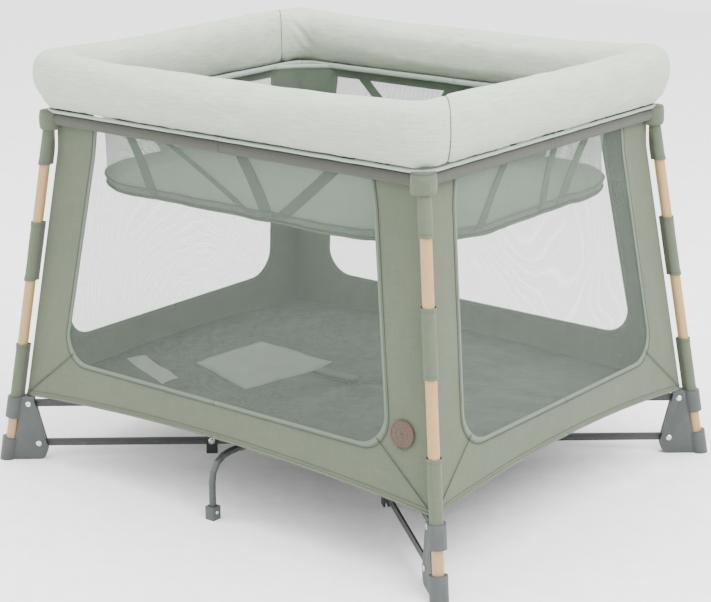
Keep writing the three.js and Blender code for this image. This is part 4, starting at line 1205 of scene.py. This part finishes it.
def rim_trim(side, corner):
    """Piping under the rim, outside and inside, and the seam where two sides of the rim meet."""
    sx, sy = CORNERS[corner]
    x, y = leg_out(RIM_LOW)
    half_x, half_y = (x, y) if side.is_long else (y, x)
    if not side.is_long and sx * sy < 0:
        section = [p for p in rim_section(RIM_SHRINK + 0.0019) if p.y > 0.004]
        line = [(x + p.x, y - SEAM_SHIFT + p.x, RIM_LOW + p.y) for p in section]
        cord = Build()
        cord.tube(in_corner(line, sx, sy), RIM_THREAD, 6, 1.0)
        piece = turned_right(cord.piece(f"rim_corner_seam_{corner}", thread_dark))
        follow_rim(piece, side, corner)
    for label, o, up in (("outer", RIM_OUT * 0.24, -0.0008), ("inner", -RIM_IN * 0.86, 0.002)):
        path = [rim_corner_point(o, up, math.pi / 4 * (1 - i / 8), half_x, half_y) for i in range(9)]
        end = path[-1]
        path += [(end[0] * (1 - i / 30), end[1], end[2]) for i in range(1, 31)]
        path = [(p[0], p[1], p[2] + 0.0005 * ripple((p[0] * sx, p[1] * sy, 0), 0.03, 5.0)) for p in path]
        if not side.is_long:
            path = [(p[1], p[0], p[2]) for p in path]
        cord = Build()
        radius, tall = (TRIM_RADIUS, 1.0) if label == "outer" else (0.0026, 2.2)
        cord.tube(in_corner(path, sx, sy), radius, 10, tall)
        piece = turned_right(cord.piece(f"rim_{label}_piping_{half_name(side, corner)}", mint_piping))
        follow_rim(piece, side, corner)


for corner_name in CORNERS:
    rim_trim(LONG, corner_name)
    rim_trim(SHORT, corner_name)


# ---- Bassinet ------------------------------------------------------------------------------------

def rounded_ring(half_x, half_y, radius, z, per_side=26, per_corner=20):
    """Points round a rectangle with rounded corners, from the middle of the right-hand side."""
    ring = []
    corners = ((1, 1, 0), (-1, 1, 1), (-1, -1, 2), (1, -1, 3))
    for sx, sy, quarter in corners:
        cx, cy = sx * (half_x - radius), sy * (half_y - radius)
        for i in range(per_corner + 1):
            a = (quarter + i / per_corner) * math.pi / 2
            ring.append(Vector((cx + radius * math.cos(a), cy + radius * math.sin(a), z)))
        nsx, nsy, next_quarter = corners[(quarter + 1) % 4]
        a = next_quarter * math.pi / 2
        nx, ny = nsx * (half_x - radius), nsy * (half_y - radius)
        goal = Vector((nx + radius * math.cos(a), ny + radius * math.sin(a), z))
        start = ring[-1]
        for i in range(1, per_side):
            ring.append(start.lerp(goal, i / per_side))
    return ring


def bassinet_half(z):
    """The bassinet's half sizes at a height."""
    t = (z - BASSINET_BASE) / (BASSINET_TOP - BASSINET_BASE)
    (tx, ty), (bx, by) = BASSINET_HALF
    return bx + (tx - bx) * t, by + (ty - by) * t


def hem_wave(p):
    """The netting pulls the base's edge up and down a little between the straps."""
    at = (p.x, p.y, 0)
    return Vector((0, 0, 0.0026 * ripple(at, 0.055, 8.0) + 0.0012 * ripple(at, 0.022, 1.5)))


def follow_bassinet(piece):
    """The bassinet rises with its slide."""
    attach(piece, "bassinet")
    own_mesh(piece)


def bassinet_walls():
    """The netting all round, drawn in a little halfway down."""
    rows, uvs = [], []
    for i in range(13):
        z = BASSINET_HEM - 0.004 + (BASSINET_TOP - BASSINET_HEM + 0.004) * i / 12
        hx, hy = bassinet_half(z)
        ring = rounded_ring(hx, hy, BASSINET_CORNER, z)
        run, row = 0.0, []
        for k, p in enumerate(ring):
            run += (p - ring[k - 1]).length if k else 0.0
            free = math.sin(math.pi * i / 12)
            outward = Vector((p.x, p.y * 1.3, 0)).normalized()
            sunk = outward * (0.0035 * free + 0.0022 * free * ripple(p, 0.08, 4.4))
            row.append(p - sunk + hem_wave(p) * (1 - i / 12))
            uvs.append((run, z))
        rows.append(row)
    net = Build()
    net.grid(rows, closed=True, uv=uvs)
    piece = net.piece("bassinet_walls", bassinet_net)
    follow_bassinet(piece)
    declare_sheet(piece)


def base_height(x, y, hx, hy):
    """The bassinet's base: slightly sagging cloth with soft creases from its corners."""
    inside = max(0.0, 1 - (x / hx) ** 2) * max(0.0, 1 - (y / hy) ** 2)
    crease = ripple((x, y * 0.6, 0), 0.10, 2.2) * 0.0035 + ripple((x * 0.7, y, 0), 0.045, 5.5) * 0.0014
    return BASSINET_BASE + 0.004 - 0.007 * inside ** 0.5 + crease * min(1, inside * 5)


def bassinet_base():
    """A shallow pan: the base turns up at its edge and is sewn to the netting."""
    rows, uvs = [], []
    lip = ((0.0, BASSINET_HEM), (0.0, BASSINET_HEM - 0.008), (0.0015, BASSINET_BASE + 0.012),
           (0.006, BASSINET_BASE + 0.004))
    for inset, z in lip:
        hx, hy = bassinet_half(z)
        ring = rounded_ring(hx - inset + 0.0012, hy - inset + 0.0012, BASSINET_CORNER - inset, z)
        rows.append([tuple(p + hem_wave(p)) for p in ring])
    hx, hy = bassinet_half(BASSINET_BASE)
    for i in range(1, 26):
        t = 1 - i / 25 * 0.985
        row = []
        for p in rounded_ring((hx - 0.012) * t, (hy - 0.012) * t, (BASSINET_CORNER - 0.012) * t, 0):
            row.append((p.x, p.y, base_height(p.x, p.y, hx, hy) + hem_wave(p).z * t ** 3))
        rows.append(row)
    for row in rows:
        uvs += [(p[0], p[1] + p[2]) for p in row]
    pan = Build()
    pan.grid(rows, closed=True, uv=uvs)
    pan.close_end(len(rows[0]))
    piece = pan.piece("bassinet_base", base_cloth)
    follow_bassinet(piece)
    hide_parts("bassinet")
    declare_sheet(piece)
    binding = Build()
    for z, radius, grow in ((BASSINET_HEM, 0.0022, 0.0018), (BASSINET_BASE + 0.006, 0.0026, 0.0)):
        hx, hy = bassinet_half(z)
        ring = [p + hem_wave(p) for p in rounded_ring(hx + grow, hy + grow, BASSINET_CORNER, z)]
        binding.tube(ring + ring[:2], radius, 8, 1.0, ends=False)
    trim = turned_right(binding.piece("bassinet_binding", strap_cloth))
    follow_bassinet(trim)


def on_bassinet(along, is_long, turn, z):
    """The point at a way along the bassinet's side, carried on round its corner, and the way out."""
    hx, hy = bassinet_half(z)
    half, away = (hx, hy) if is_long else (hy, hx)
    straight = half - BASSINET_CORNER
    extra = max(abs(along) - straight, 0) / BASSINET_CORNER
    side_way = math.copysign(1, along)
    u = along if not extra else side_way * (straight + BASSINET_CORNER * math.sin(extra))
    v = away - BASSINET_CORNER * (1 - math.cos(extra))
    du, dv = side_way * math.sin(extra), math.cos(extra)
    if is_long:
        return Vector((-turn * u, turn * v, z)), Vector((-turn * du, turn * dv, 0))
    return Vector((turn * v, turn * u, z)), Vector((turn * dv, turn * du, 0))


def ribbon(build, top, bottom, width, is_long, turn, steps=12):
    """A flat sewn strap down a bassinet wall, lying on the netting."""
    z0, z1 = BASSINET_TOP - 0.002, BASSINET_HEM - 0.008
    thick = 0.0011
    rows = []
    for i in range(steps + 1):
        t = i / steps
        z = z0 + (z1 - z0) * t
        u = top + (bottom - top) * t
        row = []
        for part in (-0.5, 0.5):
            p, out = on_bassinet(u + part * width, is_long, turn, z)
            sag = 0.0046 * math.sin(math.pi * t)
            row.append((p + out * (0.0020 - sag), out))
        (a, oa), (b, ob) = row
        rows.append([a, b, b + ob * thick, a + oa * thick])
    base = len(build.points)
    build.grid(rows, closed=True)
    build.faces.append((base, base + 1, base + 2, base + 3))
    last = base + 4 * steps
    build.faces.append((last + 3, last + 2, last + 1, last))


# Along a long and a short wall: where each strap starts at the top and ends at the base, and its width.
LONG_STRAPS = ((-0.262, -0.200, 0.024), (-0.205, 0.040, 0.020), (0.012, 0.082, 0.028),
               (0.272, 0.108, 0.030), (0.330, 0.400, 0.022))
SHORT_STRAPS = ((-0.085, -0.190, 0.020), (0.060, 0.000, 0.020), (0.175, 0.060, 0.026))


def bassinet_straps():
    """Straight and slanting straps on all four walls, and the top edge's binding."""
    straps = Build()
    for turn in (-1, 1):
        for top, bottom, width in LONG_STRAPS:
            ribbon(straps, top, bottom, width, True, turn)
        for top, bottom, width in SHORT_STRAPS:
            ribbon(straps, top, bottom, width, False, turn)
    piece = turned_right(straps.piece("bassinet_straps", strap_cloth, flat=True))
    follow_bassinet(piece)
    binding = Build()
    ring = rounded_ring(*bassinet_half(BASSINET_TOP), BASSINET_CORNER, BASSINET_TOP)
    binding.tube(ring + ring[:2], 0.0028, 8, 1.6, ends=False)
    pale = turned_right(binding.piece("bassinet_top_binding", mint_piping))
    follow_bassinet(pale)


bassinet_walls()
bassinet_base()
bassinet_straps()


# ---- Floor, label and pull strap -----------------------------------------------------------------

def floor_height(x, y):
    """The floor cloth: nearly flat, with creases that run from the middle and across the corners."""
    span_x, span_y = leg_out(WALL_FOOT_Z)
    u, v = abs(x) / (span_x - WALL_INSET), abs(y) / (span_y - WALL_INSET)
    from_strap = math.hypot(x + 0.02, y)
    angle = math.atan2(y, x)
    near_strap = math.exp(-((from_strap - 0.11) / 0.09) ** 2)
    fan = math.sin(angle * 5 + 1.3 + 1.5 * ripple((x, y, 0), 0.2, 1.1)) * near_strap
    crease = 0.0035 * ripple((x, y * 0.7, 0), 0.13, 7.7)
    crease += 0.0022 * abs(ripple((x * 0.6, y, 0), 0.07, 3.3)) * 2
    crease += 0.0020 * ripple((x + y, (x - y) * 0.25, 0), 0.035, 9.1) * smooth(from_strap / 0.3)
    calm = 1 - smooth((max(u, v) - 0.86) / 0.14)
    inside = FLOOR_HEIGHT + (crease + 0.0028 * fan) * calm
    edge = max(u, v) ** 14
    hem = LONG.hem_z(abs(x)) if v > u else SHORT.hem_z(abs(y))
    return max(inside, 0.1435) * (1 - edge) + (hem + 0.001) * edge


def floor_quarter(corner):
    """A quarter of the floor cloth, up to the walls' hems."""
    sx, sy = CORNERS[corner]
    n = 54
    rows, uvs = [], []
    foot_x, foot_y = LONG.corner(WALL_FOOT_Z), SHORT.corner(WALL_FOOT_Z)
    for j in range(n + 1):
        row = []
        for i in range(n + 1):
            u, v = i / n, j / n
            x = u * (SHORT.at(v * foot_y, SHORT.hem_z(v * foot_y))[0] - 0.0012)
            y = v * (LONG.at(u * foot_x, LONG.hem_z(u * foot_x))[1] - 0.0012)
            row.append((sx * x, sy * y, floor_height(sx * x, sy * y)))
            uvs.append((sx * x, sy * y))
        rows.append(row)
    cloth = Build()
    cloth.grid(rows, flip=sx * sy < 0, uv=uvs)
    piece = cloth.piece("floor_cloth_" + corner, floor_cloth)
    follow_floor(piece, corner)
    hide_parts("floor_sheet")
    declare_sheet(piece)


def follow_floor(piece, corner):
    """The floor rides up on its arm."""
    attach(piece, corner + "_upper_arm")
    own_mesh(piece)


def label_piece(name, corner, quad, material, rows_count=10):
    """A blank cloth label lying on the floor, cut from four corner points."""
    a, b, c, d = (Vector((*p, 0)) for p in quad)
    rows, uvs = [], []
    for j in range(rows_count + 1):
        row = []
        for i in range(rows_count * 2 + 1):
            s, t = i / (rows_count * 2), j / rows_count
            p = a.lerp(b, s).lerp(d.lerp(c, s), t)
            row.append((p.x, p.y, floor_height(p.x, p.y) + 0.0011))
            uvs.append((p.x, p.y))
        rows.append(row)
    cloth = Build()
    cloth.grid(rows, uv=uvs)
    piece = cloth.piece(name, material)
    follow_floor(piece, corner)
    declare_sheet(piece)


def labels():
    """A large label in two halves, a small slanting one, and the large one's stitches."""
    left_mid, right_mid = (-0.3334, 0.0), (-0.1232, 0.0)
    front = ((-0.338, -0.095), (-0.144, -0.161), right_mid, left_mid)
    back = (left_mid, right_mid, (-0.114, 0.070), (-0.329, 0.096))
    label_piece("floor_label_front", "front_left", front, label_cloth)
    label_piece("floor_label_back", "back_left", back, label_cloth)
    small = ((-0.468, -0.168), (-0.300, -0.236), (-0.297, -0.192), (-0.455, -0.126))
    label_piece("small_label", "front_left", small, label_cloth)
    for corner, quad in (("front_left", front), ("back_left", back)):
        first = 3 if corner == "front_left" else 1
        path = [quad[(first + k) % 4] for k in range(4)]
        centre = Vector((sum(q[0] for q in quad) / 4, sum(q[1] for q in quad) / 4))
        points = []
        for k in range(3):
            p, q = Vector(path[k]), Vector(path[k + 1])
            for i in range(12):
                r = p.lerp(q, i / 12)
                r = r + (centre - r).normalized() * 0.006
                points.append((r.x, r.y, floor_height(r.x, r.y) + 0.0018))
        sewn = stitch_rows("label_stitches_" + corner, [points], thread_dark)
        follow_floor(sewn, corner)


def pull_strap():
    """Webbing from the release plunger, up through the floor and folded back as a pull loop."""
    low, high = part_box("pull_strap")
    width = (high[1] - low[1]) / 2
    left, right = low[0], high[0]
    guide = [(0, low[2]), (0.0, 0.1475), (-0.006, 0.1535), (-0.022, 0.1545), (-0.05, 0.1532),
             (left + 0.012, 0.1530), (left + 0.002, 0.1572), (left + 0.012, 0.1610), (-0.05, 0.1602),
             (-0.02, 0.1612), (right - 0.003, high[2] - 0.0015)]
    points = [Vector((x, 0, z)) for x, z in guide]
    line = []
    for i in range(len(points) - 1):
        a, b, c, d = points[max(i - 1, 0)], points[i], points[i + 1], points[min(i + 2, len(points) - 1)]
        line += [spline(a, b, c, d, s / 5) for s in range(5)]
    line.append(points[-1])
    thick = 0.0008
    rows = []
    for i, p in enumerate(line):
        ahead = (line[min(i + 1, len(line) - 1)] - line[max(i - 1, 0)]).normalized()
        up = Vector((-ahead.z, 0, ahead.x))
        twist = 0.10 * math.sin(i * 0.16)
        row = []
        for s in range(13):
            w = width * (s / 6 - 1)
            row.append(p + Vector((0, w, 0)) + up * (thick + twist * w * 0.15))
        for s in range(12, -1, -1):
            w = width * (s / 6 - 1)
            row.append(p + Vector((0, w, 0)) + up * (-thick + twist * w * 0.15))
        rows.append(row)
    webbing = Build()
    webbing.grid(rows, closed=True)
    webbing.close(len(rows[0]))
    piece = turned_right(webbing.piece("pull_webbing", strap_cloth))
    ride_with(piece, "plunger", ["pull_strap"])


for corner_name in CORNERS:
    floor_quarter(corner_name)
labels()
pull_strap()


# ---- Hard pieces: CAD shapes with eased edges ----------------------------------------------------

def eased(node, name, body, material, width=0.0008):
    """A copy of a CAD piece with its edges rounded over, as moulded and pressed parts have."""
    source = frame["nodes"][node]
    mesh = source.data.copy()
    work = bmesh.new()
    work.from_mesh(mesh)
    bmesh.ops.remove_doubles(work, verts=work.verts, dist=1e-6)
    bmesh.ops.dissolve_limit(work, angle_limit=math.radians(0.8), verts=work.verts, edges=work.edges)
    work.to_mesh(mesh)
    work.free()
    coat(mesh, material)
    piece = new_object(name, mesh)
    bevel = piece.modifiers.new("eased", "BEVEL")
    bevel.width = width
    bevel.segments = 2
    bevel.limit_method = "ANGLE"
    bevel.angle_limit = math.radians(38)
    bevel.harden_normals = False
    applied(piece)
    smooth_shaded(piece.data)
    piece.data.set_sharp_from_angle(angle=math.radians(32))
    ride_with(piece, body, [node])
    return piece


for corner_name in CORNERS:
    for node, name, body, slot_name, material, width in (
            ("foot_bracket_", "foot_casting_", "_leg", "grey_plastic", grey_moulding, 0.0012),
            ("lower_link_", "lower_bar_", "_lower_arm", "arm_steel", arm_coat, 0.0006),
            ("upper_link_", "upper_bar_", "_upper_arm", "arm_steel", arm_coat, 0.0006),
            ("link_knuckle_", "arm_knuckle_", "_knuckle", "black_plastic", black_moulding, 0.0008)):
        eased(node + corner_name, name + corner_name, corner_name + body, material, width)
    for node, material in (
            ("lower_rivet_", plated_steel), ("upper_rivet_", plated_steel), ("long_rail_", rail_coat),
            ("short_rail_", rail_coat), ("corner_cap_", grey_moulding)):
        coat(frame["nodes"][node + corner_name].data, material)


def turned_disc(build, centre, axis, profile, sides=20):
    """A turned shape on an axis: its profile gives radius and height, and both ends are closed."""
    centre, axis = Vector(centre), Vector(axis).normalized()
    side = axis.cross(Vector((0, 0, 1)) if abs(axis.z) < 0.9 else Vector((1, 0, 0))).normalized()
    other = axis.cross(side)
    rows = []
    for r, h in profile:
        ring = []
        for k in range(sides):
            a = 2 * math.pi * k / sides
            ring.append(centre + axis * h + side * (r * math.cos(a)) + other * (r * math.sin(a)))
        rows.append(ring)
    base = len(build.points)
    build.grid(rows, closed=True)
    build.faces.append(tuple(range(base, base + sides)))
    last = base + (len(rows) - 1) * sides
    build.faces.append(tuple(range(last, last + sides)))


# Turned shapes, as pairs of radius and height.
BOLT_PROFILE = ((0.0068, 0.0), (0.0068, 0.0007), (0.0062, 0.0009), (0.0045, 0.0009), (0.0045, 0.0022),
                (0.0038, 0.0031), (0.0020, 0.0033), (0.0014, 0.0024))
STUD_PROFILE = ((0.0013, -0.0002), (0.0012, 0.0004), (0.0006, 0.0006))
FLANGE_PROFILE = ((0.0002, -0.012), (0.0016, -0.0105), (0.0018, -0.001), (0.0012, 0.0), (0.0018, 0.001),
                  (0.0016, 0.0105), (0.0002, 0.012))
SCREW_PROFILE = ((0.0036, 0.0), (0.0036, 0.0006), (0.0029, 0.0014), (0.0013, 0.0016), (0.0011, 0.0009))


def knuckle_bolts(corner):
    """A bolt with its washer on both cheeks of a knuckle, at its lower pin."""
    sx, sy = CORNERS[corner]
    x, y = leg_out(0.0)
    along = Vector((sx * x, sy * y, 0)).normalized()
    across = Vector((-along.y, along.x, 0))
    pin = Vector(JOINTS[corner + "_knuckle_hinge"]["pos_m"])
    bolts = Build()
    for way in (-1, 1):
        turned_disc(bolts, pin + across * (way * KNUCKLE_HALF), across * way, BOLT_PROFILE)
    piece = turned_right(bolts.piece("knuckle_bolts_" + corner, plated_steel))
    ride_with(piece, corner + "_knuckle")


def support_details(word):
    """The flange on a support tube, and the screws that hold its shoe."""
    way = -1 if word == "front" else 1
    low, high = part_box("support_tube_" + word)
    radius = (high[0] - low[0]) / 2
    z = high[2] - radius
    flange = Build()
    profile = [(radius + beyond, height) for beyond, height in FLANGE_PROFILE]
    turned_disc(flange, (0, way * FLANGE_AT, z), (0, way, 0), profile, 24)
    socket = turned_right(flange.piece("tube_socket_" + word, grey_moulding))
    ride_with(socket, word + "_support")
    foot_low, foot_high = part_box("tube_foot_" + word)
    middle = (foot_low[1] + foot_high[1]) / 2
    screws = Build()
    for side in (-1, 1):
        turned_disc(screws, (side * foot_high[0], middle, SHOE_SCREW_Z), (side, 0, 0), SCREW_PROFILE, 16)
    piece = turned_right(screws.piece("shoe_screws_" + word, plated_steel))
    ride_with(piece, word + "_support")


for corner_name in CORNERS:
    knuckle_bolts(corner_name)
for end_name in ("front", "back"):
    support_details(end_name)


def badge_relief():
    """Two pressed rings, a ring of studs and two short rows of stitches on the leather badge."""
    low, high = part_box("badge")
    centre = Vector(((low[0] + high[0]) / 2, (low[1] + high[1]) / 2, (low[2] + high[2]) / 2))
    lean = (leg_out(0.1)[1] - leg_out(0.7)[1]) / 0.6
    up = Vector((0, lean, 1)).normalized()
    out = Vector((0, -1, lean)).normalized()
    side = Vector((1, 0, 0))
    face = centre + out * 0.0010

    def on_face(radius, turn):
        a = 2 * math.pi * turn
        return face + side * (radius * math.cos(a)) + up * (radius * math.sin(a))

    relief = Build()
    for ring in (0.0225, 0.0120):
        relief.tube([on_face(ring, k / 48) for k in range(50)], 0.0005, 6, 1.0, ends=False)
    for k in range(12):
        turned_disc(relief, on_face(0.0172, k / 12), out, STUD_PROFILE, 10)
    for k in range(6):
        relief.tube([face, on_face(0.0075, k / 6)], 0.0006, 6, 1.0)
    piece = turned_right(relief.piece("badge_relief", badge_leather))
    follow_wall(piece, LONG, "front_right")
    rows = []
    for way in (-1, 1):
        rows.append([face + up * (way * 0.0242) + side * (x / 1000) + out * 0.0004 for x in range(-6, 7, 2)])
    sewn = stitch_rows("badge_stitches", rows, thread_dark, spacing=0.003, length=0.0022)
    follow_wall(sewn, LONG, "front_right")


badge_relief()
eased("hub_body", "hub_casting", "hub", grey_moulding, 0.0012)
eased("hub_cover", "hub_lid", "hub", grey_moulding, 0.0012)
eased("release_plunger", "release_button", "plunger", black_moulding, 0.0008)
for word in ("front", "back"):
    eased("tube_foot_" + word, "tube_shoe_" + word, word + "_support", grey_moulding, 0.0022)
    tube = frame["nodes"]["support_tube_" + word]
    coat(tube.data, tube_coat)
    smooth_shaded(tube.data)
badge_patch = eased("badge", "badge_patch", "front_right_leg", badge_leather, 0.0006)
follow_wall(badge_patch, LONG, "front_right")
